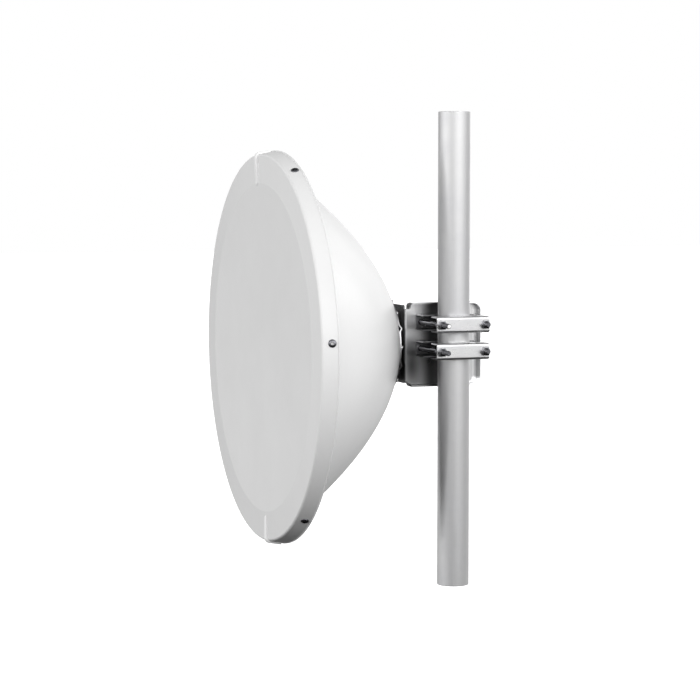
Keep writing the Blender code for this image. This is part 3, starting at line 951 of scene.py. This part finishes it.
@dataclass
class RadomeCover(SubAssembly):
    """The moulded front cover with its two half-round marks."""

    wall: float = 0.003
    panel_radius: float = 0.2637  # radius of the flat panel
    panel_rise: float = -0.0005  # height of the panel above the edge plane
    panel_bend: float = 0.0012  # width of the soft bend round the panel
    edge_radius: float = 0.3070  # radius at which the edge rounding starts
    edge_round: float = 0.0045  # radius of the edge rounding
    band_drop: float = 0.0012  # depth of the sloping band at the edge
    skirt_front: float = 0.3100  # skirt radius at its front
    skirt_back: float = 0.3155  # skirt radius at its rear
    skirt_depth: float = 0.028  # depth of the skirt
    bead: float = 0.0012  # height of the bead along the rear edge
    # angle in degrees and inner end's radius of each mark
    marks: tuple[Pair, ...] = ((93.3, 0.2610), (-84.0, 0.2705))
    mark_size: Pair = (0.0050, 0.0034)  # half width and height of a mark

    def build(self) -> None:
        """Build the cover with its marks."""
        profile, place = self._profile(), AXIS.place()
        cover = self.shop.turner.turn("cover_shell", profile, 288, COVER_PLASTIC, place)
        for word, (angle, start) in zip(("upper", "lower"), self.marks):
            mark = self._mark(f"{word}_cover_mark", radians(angle), start)
            dress(mark, LIT_MARK_PLASTIC, [], 40.0)
        dress(cover, COVER_PLASTIC, ["radome_cover"], 24.0)

    def _profile(self) -> Profile:
        """Return the closed profile of the cover's wall.

        Returns:
            Points as radius and depth.
        """
        rise, wall, rear = self.panel_rise, self.wall, self.skirt_depth
        panel, edge, back = self.panel_radius, self.edge_radius, self.skirt_back
        slope = (rise + self.band_drop) / (edge - panel)
        outer = [(0.0, -rise), (panel * 0.5, -rise)]
        bend, steps = self.panel_bend, 3
        for step in range(steps + 1):
            along = bend * step / steps
            drop = slope * along * along / (2.0 * bend)
            outer.append((panel - bend / 2.0 + along, drop - rise))
        start = -90.0 + degrees(atan(slope))
        depth = self.edge_round + self.band_drop
        outer += arc((edge, depth), self.edge_round, start, 0.0, 10)
        # rounding of the bead, and its middle, foot and start before the rear edge
        bulge, middle, foot, begin = 0.0011, 0.0013, 0.0027, 0.0042
        outer += [(back - 0.0005, rear - begin), (back - 0.0001, rear - foot)]
        outer += arc((back + self.bead - bulge, rear - middle), bulge, -45, 90, 5)
        inner = [(back - wall + 0.0003, rear), (back - wall, rear - 0.0004)]
        inner += [(self.skirt_front - wall, depth)]
        inner += [(edge + 0.0015, wall + self.band_drop)]
        inner += [(panel + 0.005, wall - rise * 0.9)]
        inner += [(panel, wall - rise), (0.0, wall - rise)]
        return outer + inner

    def _mark(self, name: str, angle: float, start: float) -> Object:
        """Build one mark that runs over the band and the skirt.

        Args:
            name: Name of the mark.
            angle: Angle of the mark round the axis.
            start: Radius of its inner end.

        Returns:
            The closed mark.
        """
        (wide, high), panel, edge = self.mark_size, self.panel_radius, self.edge_radius
        line: list[Triple] = []
        # distance from the inner end, and size there
        for ahead, size in ((0.0, 0.15), (0.001, 0.6), (0.0024, 0.88), (0.0045, 1.0)):
            drop = (start + ahead - panel) / (edge - panel)
            line.append((start + ahead, -self.panel_rise * (1.0 - drop), size))
        line.append((edge - 0.002, -self.panel_rise * 0.03, 1.0))
        depth = self.edge_round + self.band_drop
        curve = arc((edge, depth), self.edge_round, -75, 0, 5)
        line += [(radius, depth, 1.0) for radius, depth in curve]
        line.append((self.skirt_back - 0.0006, self.skirt_depth - 0.0045, 1.0))
        out = Vector((cos(angle), 0.0, sin(angle)))
        side = out.cross(BACK)
        rings, last, squareness, sunk = [], len(line) - 1, 0.45, 0.0015
        for index, (radius, depth, size) in enumerate(line):
            before, after = line[max(index - 1, 0)], line[min(index + 1, last)]
            run = Vector((after[0] - before[0], after[1] - before[1])).normalized()
            normal = out * run.y - BACK * run.x
            middle = AXIS.point(radius, depth, angle)
            grow = 0.4 + 0.6 * min((radius - start) / (edge - start), 1.0)
            ring = []
            for sweep in (pi * step / 16.0 for step in range(17)):
                turn = copysign(abs(cos(sweep)) ** squareness, cos(sweep))
                across = side * (wide * turn * (0.5 + 0.5 * size))
                lift = normal * (high * grow * sin(sweep) ** squareness * size)
                ring.append(middle + across + lift)
            low = middle - normal * sunk
            rings.append(ring + [low - side * wide * size, low + side * wide * size])
        return loft(name, rings)


@dataclass
class Reflector(SubAssembly):
    """The spun parabolic bowl with its flat hub and its rim."""

    wall: float = 0.002
    scale: float = 0.404  # four times the focal length
    vertex: float = 0.2271  # depth of the parabola's vertex
    hub_radius: float = 0.0445  # radius of the flat hub
    hub_depth: float = 0.2222  # depth of the flat hub
    flange_front: float = 0.0033  # depth of the rim flange's front face
    lip_front: float = 0.3074  # radius of the turned lip at its front
    lip_back: float = 0.3113  # radius of the turned lip at its rear
    lip_depth: float = 0.025  # depth of the lip's rear edge
    steps: int = 48  # rings of the parabola

    def depth(self, radius: float) -> float:
        """Return the depth of the rear surface at a radius."""
        return self.vertex - radius * radius / self.scale

    def build(self) -> None:
        """Build the bowl."""
        wall, hub, level = self.wall, self.hub_radius, self.hub_depth
        back = self.flange_front + wall
        rim = sqrt((self.vertex - back) * self.scale)
        behind, ahead = [], []
        for step in range(self.steps + 1):
            radius = hub + (rim - hub) * step / self.steps
            depth = min(self.depth(radius), level - 0.0002)
            slope = 2.0 * radius / self.scale
            behind.append((radius, depth))
            depth -= wall * sqrt(1.0 + slope * slope)
            ahead.append((radius, max(depth, self.flange_front)))
        front, rear = self.lip_front, self.lip_back
        outer = [(0.0, level), (hub - 0.004, level), (hub - 0.0015, level - 0.00005)]
        outer += behind[1:]
        outer += [(front - wall - 0.001, back), (front - wall, back + 0.001)]
        outer += [(rear - wall, self.lip_depth), (rear, self.lip_depth)]
        outer += [(front, back + 0.0015), (front - 0.0025, self.flange_front)]
        outer += [(rim - 0.0022, self.flange_front)] + ahead[-2::-1]
        outer += [(hub - 0.003, level - wall), (0.0, level - wall)]
        turn, paint = self.shop.turner.turn, REFLECTOR_PAINT
        bowl = turn("reflector_bowl", outer, 256, paint, AXIS.place())
        dress(bowl, paint, ["reflector"], 26.0)


@dataclass
class HubPlate(SubAssembly):
    """The pressed plate behind the bowl, with ribs and small edge screws."""

    reflector: Reflector  # bowl that the plate lies on
    radius: float = 0.0805
    wall: float = 0.0022
    ribs: int = 8  # number of pressed ribs and of screws
    rib_height: float = 0.0036  # height of a rib at the edge
    rib_half_width: float = 0.0060  # half width of a rib
    rib_round: float = 0.35  # share of the rounded form in a rib's ridge
    screw_ring: float = 0.0763  # radius of the ring of screws
    sides: int = 384  # points round the plate
    steps: int = 14  # rings between the flat hub and the edge

    def build(self) -> None:
        """Build the plate and its ring of screws."""
        hub, steps = self.reflector.hub_radius, self.steps
        radii = [hub + (self.radius - hub) * step / steps for step in range(steps + 1)]
        bm = bmesh.new()
        edges = []
        for offset in (GAP, GAP + self.wall):
            centre = AXIS.point(0, self.reflector.hub_depth + offset, 0)
            middle = bm.verts.new(centre)
            rings = [self._ring(bm, radius, offset) for radius in radii]
            for one, two in zip(rings[0], rings[0][1:] + rings[0][:1]):
                bm.faces.new([middle, one, two])
            for first, second in zip(rings, rings[1:]):
                bridge(bm, first, second)
            edges.append(rings[-1])
        bridge(bm, *edges)
        dress(new_object("hub_pressing", bm), HUB_STEEL, ["hub_plate"], 30.0)
        self._screws()

    def _ring(
        self, bm: bmesh.types.BMesh, radius: float, offset: float
    ) -> list[bmesh.types.BMVert]:
        """Add one ring of the plate, lifted by the ribs.

        Args:
            bm: Mesh that gets the points.
            radius: Radius of the ring.
            offset: Distance behind the bowl.

        Returns:
            The points.
        """
        ring = []
        base = min(self.reflector.depth(radius), self.reflector.hub_depth) + offset
        hub = self.reflector.hub_radius
        along = max(0.0, (radius - hub) / (self.radius - hub))
        spacing = FULL_TURN / self.ribs
        for step in range(self.sides):
            angle = FULL_TURN * step / self.sides
            nearest = (angle - spacing / 2.0) % spacing
            away = min(nearest, spacing - nearest) * radius / self.rib_half_width
            tent = max(0.0, 1.0 - away)
            smooth, soft = tent * tent * (3.0 - 2.0 * tent), self.rib_round
            rounded = smooth * soft + tent * (1.0 - soft)
            depth = base + self.rib_height * rounded * along
            ring.append(bm.verts.new(AXIS.point(radius, depth, angle)))
        return ring

    def _screws(self) -> None:
        """Build the ring of small pan-head screws near the plate's edge."""
        base = self.reflector.depth(self.screw_ring) + GAP + self.wall
        slope = 2.0 * self.screw_ring / self.reflector.scale
        place = axis_place((self.screw_ring, 0.0, base), Vector((slope, 0.0, 1.0)))
        screw = PanScrew(self.shop, 0.0036, 0.0028)
        screws = screw.build("hub_edge_screws", place, HUB_STEEL)
        sizes = {"Count": self.ribs, "Phase": 0.0}
        self.shop.ring.apply(screws, AXIS.place(), HUB_STEEL, **sizes)
        dress(screws, HUB_STEEL, [])


@dataclass
class PanScrew(SubAssembly):
    """A pan-head screw with a cross recess."""

    radius: float = 0.0063
    height: float = 0.0030
    shank: float = 0.0  # shank radius
    reach: float = 0.0  # length of the shank below the head

    def build(self, name: str, place: Matrix, finish: Finish) -> Object:
        """Build the screw with its seat at the local origin.

        Args:
            name: Name of the piece.
            place: Matrix from the local frame to its place.
            finish: Finish of the screw.

        Returns:
            The screw.
        """
        wide, high, foot = self.radius, self.height, -self.reach
        profile = [(0.0, foot)]
        if self.reach > 0.0:
            profile += [(self.shank * 0.8, foot), (self.shank, foot + 0.0006)]
            profile += [(self.shank, 0.0)]
        profile += [(wide * 0.95, 0.0), (wide, high * 0.08)]
        steps, first, edge, fullness = 7, 12.0, 0.30, 0.72
        for step in range(steps):
            angle = radians(first + (90.0 - first) * step / steps)
            level = high * (edge + (1.0 - edge) * sin(angle))
            profile.append((wide * cos(angle) ** fullness, level))
        screw = self.shop.turner.turn(name, profile + [(0.0, high)], 40, finish)
        arm, half, corner = wide * 0.40, wide * 0.22, wide * 0.05
        slot = rounded_box((-arm, -half), (arm, half), (corner, 2))
        floor = 0.1 * high - min(self.reach, 0.4 * high)
        for spin in (0.25 * pi, 0.75 * pi):
            cut(screw, slot, floor, high * 1.4, Matrix.Rotation(spin, 4, "Z"))
        return settle(screw, place)


@dataclass
class RimScrews(SubAssembly):
    """The six screws round the cover's skirt."""

    cover: RadomeCover  # cover that the screws hold
    count: int = 6
    depth: float = 0.0170  # depth of the ring of screws
    roll: float = radians(5.0)  # turn of the ring round the axis

    def build(self) -> None:
        """Build the ring of screws."""
        cover, behind = self.cover, self.depth - self.cover.edge_round
        run = cover.skirt_depth - cover.edge_round
        slope = (cover.skirt_back - cover.skirt_front) / run
        outward = Vector((1.0, 0.0, -slope)).normalized()
        radius = cover.skirt_front + slope * behind
        place = axis_place(Vector((radius, 0.0, self.depth)) + outward * GAP, outward)
        screw = PanScrew(self.shop, shank=0.0028, reach=0.0078)
        screws = screw.build("rim_screws", place, SCREW_STEEL)
        # The place turns the ring's angles the other way round.
        sizes = {"Count": self.count, "Phase": -self.roll}
        self.shop.ring.apply(screws, AXIS.place(), SCREW_STEEL, **sizes)
        names = [f"rim_screw_{number + 1}" for number in range(self.count)]
        dress(screws, SCREW_STEEL, names)


@dataclass
class Bracket(SubAssembly):
    """The folded sheet bracket: side plate, lips and front flange."""

    sheet: float = 0.0025
    bend: float = 0.0033  # outer bend radius
    face_x: float = -0.0523  # position of the side plate's face
    front_y: float = -0.064  # front edge of the side plate
    back_y: float = 0.0642  # rear edge of the side plate
    bottom_z: float = 0.318  # lower edge
    top_z: float = 0.454  # upper edge
    lip: float = 0.0147  # how far the lips stand in front of the plate's face
    lip_start: float = -0.0565  # front end of the plate where the front flange starts
    tray_y: float = -0.0617  # outer face of the lips' short front ends
    # outer radii of the plate's front and rear corners
    corners: Pair = (0.0055, 0.0140)
    flange_x: float = -0.176  # far edge of the front flange
    flange_z: Pair = (0.3229, 0.4493)  # lower and upper edge of the front flange
    flange_round: float = 0.0030  # radius of the flange's corners beside the plate
    relief_x: float = -0.0590  # how far the corner reliefs reach into the bend
    # heights of the reliefs at the lower and the upper corner
    reliefs: Pair = (0.0055, 0.0102)
    spare_y: float = 0.0224  # distance of the spare holes from the pole's axis
    spare_z: float = 0.357  # height of the spare holes
    holes: Pair = (0.0045, 0.0034)  # radii of the bolt holes and the spare holes

    def build(self) -> None:
        """Build the bracket."""
        plate = self._tray()
        boolean(plate, self._fold(), "UNION")
        self._drill(plate)
        soften(plate, 0.00018)
        dress(plate, BRACKET_STEEL, ["bracket"], 30.0)
        self._edge()

    def _ring(self, inset: float, x: float) -> list[Triple]:
        """Return the tray's outline at one distance from its outer face.

        Args:
            inset: Distance inside the outer outline.
            x: Position along X.

        Returns:
            The points.
        """
        near, far = (corner - inset for corner in self.corners)
        low = (self.tray_y + inset, self.bottom_z + inset)
        high = (self.back_y - inset, self.top_z - inset)
        return [(x, y, z) for y, z in rounded_box(low, high, (far, 12), (near, 7))]

    def _tray(self) -> Object:
        """Build the side plate with its lips, open where the flange starts.

        Returns:
            The tray.
        """
        steps, inner = 7, self.bend - self.sheet
        back = self.face_x - self.sheet
        outer_path, inner_path = [], []
        for step in range(steps + 1):
            angle = radians(90.0 * step / steps)
            side, rise = 1.0 - sin(angle), 1.0 - cos(angle)
            outer_path.append((self.bend * side, back + self.bend * rise))
            inner_path.append((self.sheet + inner * side, self.face_x + inner * rise))
        free = self.face_x + self.lip
        path = outer_path + [(0.0, free), (self.sheet, free)] + inner_path[::-1]
        tray = loft("bracket_sheet", [self._ring(inset, x) for inset, x in path])
        opening = rectangle((-0.2, self.front_y - 0.04), (0.1, self.lip_start))
        low, high = self.bottom_z + self.reliefs[0], self.top_z - self.reliefs[1]
        cut(tray, opening, low, high)
        return tray

    def _edge(self) -> None:
        """Build a thin strip on the rear half of the lips' free edge, near white as a
        painted highlight.
        """
        low = self.face_x + self.lip - 0.0002
        high, outer, inner = low + 0.00025, 0.0004, 0.0021
        path = ((outer, low), (outer, high), (inner, high), (inner, low))
        edge = loft("bracket_lip_highlight_strip", [self._ring(*spot) for spot in path], True)
        front_half = rectangle((-0.2, -0.1), (0.1, 0.0))
        cut(edge, front_half, 0.3, 0.5)
        dress(edge, EDGE_HIGHLIGHT_STEEL, [])

    def _fold(self) -> Object:
        """Build the front flange with the bend that joins it to the plate.

        Returns:
            The flange.
        """
        centre = (self.face_x - self.bend, self.front_y + self.bend)
        outline = [(self.face_x, self.lip_start)]
        outline += arc(centre, self.bend, 0.0, -90.0, 8)
        outline += [(self.flange_x, self.front_y)]
        outline += [(self.flange_x, self.front_y + self.sheet)]
        outline += arc(centre, self.bend - self.sheet, -90.0, 0.0, 8)
        outline += [(self.face_x - self.sheet, self.lip_start)]
        fold = prism("fold", outline, *self.flange_z)
        near, far = self.relief_x, self.face_x + 0.01
        over, under = self.top_z - self.reliefs[1], self.bottom_z + self.reliefs[0]
        x, z = near - self.flange_round, self.flange_z[1] - self.flange_round
        upper = [(far, over), (far, self.top_z), (x, self.top_z)]
        upper += arc((x, z), self.flange_round, 90.0, 0.0, 6) + [(near, over)]
        place = axis_place((0.0, self.front_y - 0.01, 0.0), BACK)
        for rim in (upper, rectangle((near, 0.3), (far, under))):
            flat = [(place.inverted() @ Vector((x, 0.0, z))).to_2d() for x, z in rim]
            cut(fold, flat, 0.0, 0.0176, place)
        return fold

    def _drill(self, plate: Object) -> None:
        """Cut the bolt holes and the spare holes.

        Args:
            plate: The folded sheet.
        """
        (bolt, spare), front = self.holes, self.front_y - 0.01
        start, blind = self.face_x - 0.015, self.face_x - 0.88 * self.sheet
        for level in ClampSet.levels:
            for y in (-ClampSet.bolt_y, ClampSet.bolt_y):
                drill(plate, (start, y, level), AHEAD, bolt, 0.03)
        for y in (-self.spare_y, self.spare_y):
            drill(plate, (blind, y, self.spare_z), AHEAD, spare, 0.03)
        for x, z in HubBolts(self.shop).spots():
            drill(plate, (x, front, z), BACK, bolt, 0.03)


@dataclass
class HubBolts(SubAssembly):
    """The four bolts through the front flange, the hub plate and the bowl."""

    offset: float = 0.025  # distance of each bolt from the axis along X and Z
    length: float = 0.016  # length of a bolt's thread

    def spots(self) -> list[Pair]:
        """Return the bolts' places as (x, z)."""
        signs = [(1.0, 1.0), (1.0, -1.0), (-1.0, 1.0), (-1.0, -1.0)]
        return [(AXIS.x + a * self.offset, AXIS.z + b * self.offset) for a, b in signs]

    def build(self) -> None:
        """Build the bolts."""
        face, maker = Bracket.front_y + Bracket.sheet + GAP, Hexagons(self.shop)
        for number, (x, z) in enumerate(self.spots(), 1):
            head = maker.head(axis_place((x, face, z), BACK))
            down = axis_place((x, face + 0.002, z), -BACK)
            rod = self.shop.threader.rod("rod", self.length, down)
            bolt = join(f"hub_fixing_{number}", [head, rod])
            dress(bolt, BOLT_STEEL, [f"hub_bolt_{number}"], 34.0)


@dataclass
class Hexagons(SubAssembly):
    """Builds chamfered hexagonal nuts and bolt heads."""

    across: float = 0.013
    head_height: float = 0.0053  # height of a bolt head
    nut_height: float = 0.0065  # height of a nut
    hole: float = 0.0042  # radius of a nut's hole

    def _blank(self, name: str, height: float, both: bool) -> Object:
        """Build a hexagonal prism trimmed by its chamfer cones.

        Args:
            name: Name of the piece.
            height: Height of the prism.
            both: True to chamfer both ends, False for the outer end only.

        Returns:
            The prism, with its seat at the local origin.
        """
        corner, flat = self.across / sqrt(3.0), self.across / 2.0 * 0.96
        blank = prism(name, arc((0.0, 0.0), corner, 30.0, 330.0, 5), 0.0, height)
        wide = corner + 0.0006
        drop = (wide - flat) * tan(radians(28.0))
        low = [(0.0, 0.0), (flat, 0.0), (wide, drop)]
        if not both:
            low = [(0.0, -0.0001), (wide, -0.0001)]
        high = [(wide, height - drop), (flat, height), (0.0, height)]
        cone = self.shop.turner.turn("cone", low + high, 48, BOLT_STEEL)
        return boolean(blank, cone, "INTERSECT")

    def head(self, place: Matrix) -> Object:
        """Build a bolt head on a seat's frame and return it."""
        return settle(self._blank("head", self.head_height, False), place)

    def nut(self, name: str, place: Matrix) -> Object:
        """Build a lock nut: a hexagon with a domed collar.

        Args:
            name: Name of the piece.
            place: Matrix from the seat's frame to its place.

        Returns:
            The nut.
        """
        height, hole, turn = self.nut_height, self.hole, self.shop.turner.turn
        hexagon = height * 0.70
        nut = self._blank(name, hexagon, True)
        collar, crown = 0.0059, height - hexagon
        dome = [(0.0, hexagon - 0.001), (collar, hexagon - 0.001)]
        dome += arc((collar - crown, hexagon), crown, 0.0, 78.0, 8) + [(0.0, height)]
        boolean(nut, turn("cap", dome, 48, BOLT_STEEL), "UNION")
        sink, over = 0.0006, 0.001
        mouth = hole + sink + over
        core = [(0.0, -over), (mouth, -over), (hole, sink), (hole, height - sink)]
        core += [(mouth, height + over), (0.0, height + over)]
        boolean(nut, turn("core", core, 36, BOLT_STEEL), "DIFFERENCE")
        return settle(nut, place)


@dataclass
class ClampSet(SubAssembly):
    """The two clamps: channels, long bolts, washers and nuts."""

    levels: Pair = (0.4223, 0.3796)  # height of each clamp
    height: float = 0.026
    # front channels: distances of web, free edge and notch apex from the pole's axis
    front: Triple = (0.0425, 0.0155, 0.0358)
    rear: Triple = (0.0520, 0.0207, 0.0352)  # the same distances of the rear channels
    half_length: float = 0.045  # half length of a channel
    sheet: float = 0.0025
    bend: float = 0.004  # outer bend radius
    corner: float = 0.0028  # rounding of a channel's corners
    bolt_y: float = 0.037  # distance of each bolt from the pole's axis
    # positions of the front and the rear bolts' free ends
    bolt_ends: Pair = (0.0740, 0.0575)
    shank: float = 0.0039  # radius of the bolts' plain shanks
    thread_start: float = 0.022  # position along X where the threads start
    # hole, outer radius, thickness and edge rounding of a washer
    washer: tuple[float, ...] = (0.0043, 0.008, 0.0016, 0.00025)

    def build(self) -> None:
        """Build both clamps."""
        for word, level in zip(("upper", "lower"), self.levels):
            self._channel(f"{word}_front_channel", level, 1.0)
            self._channel(f"{word}_rear_channel", level, -1.0)
            for place, side, end in zip(("front", "back"), (-1.0, 1.0), self.bolt_ends):
                label, y = f"{word}_{place}", side * self.bolt_y
                self._bolt(label, y, level, end)
                self._washer_and_nut(label, y, level)

    def _channel(self, node: str, level: float, side: float) -> None:
        """Build one channel.

        Args:
            node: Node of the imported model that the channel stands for.
            level: Height of its middle.
            side: 1 for the outer side of the pole, -1 for the plate's side.
        """
        half, long, radius = self.height / 2.0, self.half_length, self.bend
        face, free, apex = self.front if side > 0.0 else self.rear
        inner = radius - self.sheet
        top = (face - radius, half - radius)
        bottom = (face - radius, radius - half)
        outline = [(free, -half)]
        outline += arc(bottom, radius, -90.0, 0.0, 7) + arc(top, radius, 0.0, 90.0, 7)
        outline += [(free, half), (free, half - self.sheet)]
        outline += arc(top, inner, 90.0, 0.0, 5) + arc(bottom, inner, 0.0, -90.0, 5)
        outline += [(free, self.sheet - half)]
        rings = [[(side * x, y, level + z) for x, z in outline] for y in (-long, long)]
        channel = loft(f"{node}_sheet", rings)
        mouth = free - 0.005
        spread = apex - mouth
        wedge = [(side * apex, 0.0), (side * mouth, spread), (side * mouth, -spread)]
        cut(channel, wedge, -0.03, 0.03, Matrix.Translation((0.0, 0.0, level)))
        blank = rounded_box((-long, -half), (long, half), (self.corner, 5))
        place = axis_place((0.0, 0.0, level), AHEAD * side)
        boolean(channel, prism("blank", blank, -0.01, 0.06, place), "INTERSECT")
        for y in (-self.bolt_y, self.bolt_y):
            start = (side * 0.03, y, level)
            drill(channel, start, AHEAD * side, Bracket.holes[0], 0.04)
        soften(channel, 0.00035)
        # The rear channels take the darkened copy of the clamp metal: painted shade.
        dress(channel, CLAMP_STEEL if side > 0.0 else SHADED_REAR_STEEL, [node], 30.0)

    def _bolt(self, label: str, y: float, level: float, end: float) -> None:
        """Build one long bolt.

        Args:
            label: Start of the names of its nodes.
            y: Position of the bolt along Y.
            level: Height of the bolt.
            end: Position of its free end along X.
        """
        back = Bracket.face_x - Bracket.sheet - GAP
        start, lap = self.thread_start, 0.001
        head = Hexagons(self.shop).head(axis_place((back, y, level), -AHEAD))
        low = back - 2.0 * lap
        line = rectangle((0.0, 0.0), (self.shank, start - low))
        place = axis_place((low, y, level), AHEAD)
        shank = self.shop.turner.turn("shank", line, 32, BOLT_STEEL, place)
        place = axis_place((start - lap, y, level), AHEAD)
        rod = self.shop.threader.rod("rod", end - start + lap, place)
        bolt = join(f"{label}_stud", [head, shank, rod])
        dress(bolt, BOLT_STEEL, [f"{label}_bolt"], 34.0)
        # Only this bolt's end gets the bright disc: a painted glint.
        if label == "upper_front":
            line = rectangle((0.0, 0.0), (0.0029, 0.0002))
            place = axis_place((end - 0.0001, y, level), AHEAD)
            name = f"{label}_stud_end_glint"
            face = self.shop.turner.turn(name, line, 32, GLINT_STEEL, place)
            dress(face, GLINT_STEEL, [])

    def _washer_and_nut(self, label: str, y: float, level: float) -> None:
        """Build the washer and the nut of one bolt.

        Args:
            label: Start of the names of its nodes.
            y: Position of the bolt along Y.
            level: Height of the bolt.
        """
        hole, wide, thick, edge = self.washer
        low = self.front[0] + GAP
        ring = [(hole, 0.0), (wide - edge, 0.0), (wide, edge)]
        ring += [(wide, thick - edge), (wide - edge, thick), (hole, thick)]
        place = axis_place((low, y, level), AHEAD)
        name = f"{label}_flat_washer"
        washer = self.shop.turner.turn(name, ring, 48, WASHER_STEEL, place)
        dress(washer, WASHER_STEEL, [f"{label}_washer"])
        place = axis_place((low + thick + GAP, y, level), AHEAD, radians(30.0))
        nut = Hexagons(self.shop).nut(f"{label}_hex_nut", place)
        soften(nut, 0.00015, 1)
        dress(nut, BOLT_STEEL, [f"{label}_nut"], 30.0)


# ------------------------------------------------------------------- studio


@dataclass(frozen=True)
class LightWall:
    """A band of soft light round the object, far away."""

    rise: Pair  # sines of the elevations between which the band fades in
    fall: Pair  # sines of the elevations between which it fades out
    # brightness at equal steps of azimuth from -180 degrees on, with 0 towards +X and
    # 90 towards +Y
    values: tuple[float, ...]


# limits of the bands from below upwards, and the brightness of each band
LEVELS = ((-0.50, -0.25), (-0.15, -0.12), (-0.078, -0.056), (0.12, 0.25))
LEVELS += ((0.40, 0.60), (0.85, 1.00))
BRIGHTNESS = (
    (0.34, 0.82, 0.72, 0.30, 0.18, 0.34, 0.62, 0.44),
    (0.60, 0.60, 0.50, 0.08, 0.03, 0.04, 0.52, 0.72),
    (0.46, 0.38, 0.60, 1.04, 1.42, 1.38, 1.06, 0.70, 0.86)
    + (1.32, 1.42, 1.08, 0.66, 0.46, 0.50, 0.72, 0.92, 0.80),
    (0.25, 0.85, 1.60, 2.10, 2.40, 2.85, 3.40, 3.70, 3.30, 2.20, 1.00, 0.28),
    (0.05, 0.30, 0.65, 0.91, 0.84, 0.26),
)


@dataclass
class Studio:
    """The pale floor, the soft lights and the camera."""

    azimuth: float = 70.73  # camera azimuth in degrees, 0 looking along +Y
    elevation: float = 4.264
    distance: float = 3.70  # distance of the camera from its target
    target: Triple = (-0.0591, -0.1554, 0.3789)  # point at the centre of the picture
    lens: float = 118.4  # focal length for a 36 mm wide sensor, in millimetres
    floor_z: float = -0.45  # height of the floor
    floor_reach: float = 30.0  # half width of the floor
    ground: float = 0.03  # brightness of the light from below
    power: float = 1.5  # factor on all the light
    # bands of soft light round the object
    walls: tuple[LightWall, ...] = tuple(map(LightWall, LEVELS, LEVELS[1:], BRIGHTNESS))

    def build(self) -> None:
        """Build the floor, the lights and the camera."""
        self._floor()
        self._world()
        self._camera()
        bpy.context.scene.view_settings.view_transform = "Standard"
        bpy.context.scene.view_settings.look = "None"

    def _camera(self) -> None:
        """Place the camera at the photograph's viewing angle."""
        data = bpy.data.cameras.new("camera")
        data.lens = self.lens
        data.sensor_width = 36.0
        data.clip_end = 100.0
        data.dof.use_dof = False
        camera = bpy.data.objects.new("camera", data)
        bpy.context.scene.collection.objects.link(camera)
        a, e = radians(self.azimuth), radians(self.elevation)
        back = Vector((sin(a) * cos(e), -cos(a) * cos(e), sin(e)))
        camera.location = Vector(self.target) + back * self.distance
        camera.rotation_mode = "QUATERNION"
        camera.rotation_quaternion = (-back).to_track_quat("-Z", "Y")
        bpy.context.scene.camera = camera

    def _floor(self) -> None:
        """Build the wide pale floor."""
        material = bpy.data.materials.new("pale_floor")
        material.use_nodes = True
        Wiring(material.node_tree).fill(
            material.node_tree.nodes["Principled BSDF"],
            Base_Color=(0.92, 0.92, 0.92, 1.0),
            Roughness=0.9,
            Specular_IOR_Level=0.0,
            Emission_Color=WHITE,
            Emission_Strength=0.45,
        )
        bm, size = bmesh.new(), self.floor_reach
        corners = rectangle((-size, -size), (size, size))
        bm.faces.new([bm.verts.new((x, y, self.floor_z)) for x, y in corners])
        floor = new_object("floor", bm)
        floor.data.materials.append(material)
        floor.visible_diffuse = False
        floor.visible_glossy = False

    def _world(self) -> None:
        """Build a white backdrop and the bands of light round the object."""
        world = bpy.data.worlds.new("studio_white")
        bpy.context.scene.world = world
        world.use_nodes = True
        world.node_tree.nodes.clear()
        web = Wiring(world.node_tree)
        place = web.out("ShaderNodeTexCoord", "Generated")
        x, y, z = web.node("ShaderNodeSeparateXYZ", place).outputs
        share = web.math("MULTIPLY_ADD", web.math("ARCTAN2", y, x), 0.5 / pi, 0.5)
        below = web.math("SUBTRACT", 1.0, self._step(web, z, self.walls[0].rise))
        total = web.math("MULTIPLY", below, self.ground)
        for wall in self.walls:
            total = web.math("ADD", total, self._wall(web, share, z, wall))
        total = web.math("MULTIPLY", total, self.power)
        light, seen = (
            web.out("ShaderNodeBackground", "Background", WHITE, strength)
            for strength in (total, 1.0)
        )
        ray = web.out("ShaderNodeLightPath", "Is Camera Ray")
        mix = web.out("ShaderNodeMixShader", "Shader", ray, light, seen)
        web.node("ShaderNodeOutputWorld", Surface=mix)

    def _step(self, web: Wiring, value: Socket, limits: Pair) -> Socket:
        """Rise smoothly from 0 to 1 between two limits and return the result."""
        return web.ramp(value, "SMOOTHSTEP", From_Min=limits[0], From_Max=limits[1])

    def _wall(
        self, web: Wiring, share: Socket, height: Socket, wall: LightWall
    ) -> Socket:
        """Add one band of light to the world.

        Args:
            web: Wiring of the world.
            share: Azimuth as a share of a full turn.
            height: Sine of the elevation.
            wall: The band.

        Returns:
            Its brightness.
        """
        full = 4.0
        ramp = web.node("ShaderNodeValToRGB", share)
        ramp.color_ramp.interpolation = "B_SPLINE"
        closed = wall.values + wall.values[:1]
        elements = ramp.color_ramp.elements
        while len(elements) < len(closed):
            elements.new(0.5)
        for index in range(len(closed)):
            elements[index].position = index / (len(closed) - 1)
        for element, value in zip(elements, closed):
            element.color = (*grey(value / full), 1.0)
        bright = web.math("MULTIPLY", ramp.outputs["Color"], full)
        rise = self._step(web, height, wall.rise)
        fall = web.math("SUBTRACT", 1.0, self._step(web, height, wall.fall))
        return web.math("MULTIPLY", bright, web.math("MULTIPLY", rise, fall))


def main() -> None:
    """Build every sub-assembly in order."""
    logging.basicConfig(level=logging.INFO, format="%(message)s")
    shop = Workshop(RevolveTree(), RingTree(), ThreadTree())
    cover, reflector = RadomeCover(shop), Reflector(shop)
    Pole(shop).build()
    cover.build()
    reflector.build()
    HubPlate(shop, reflector).build()
    RimScrews(shop, cover).build()
    Bracket(shop).build()
    HubBolts(shop).build()
    ClampSet(shop).build()
    Studio().build()


if __name__ == "__main__":
    main()
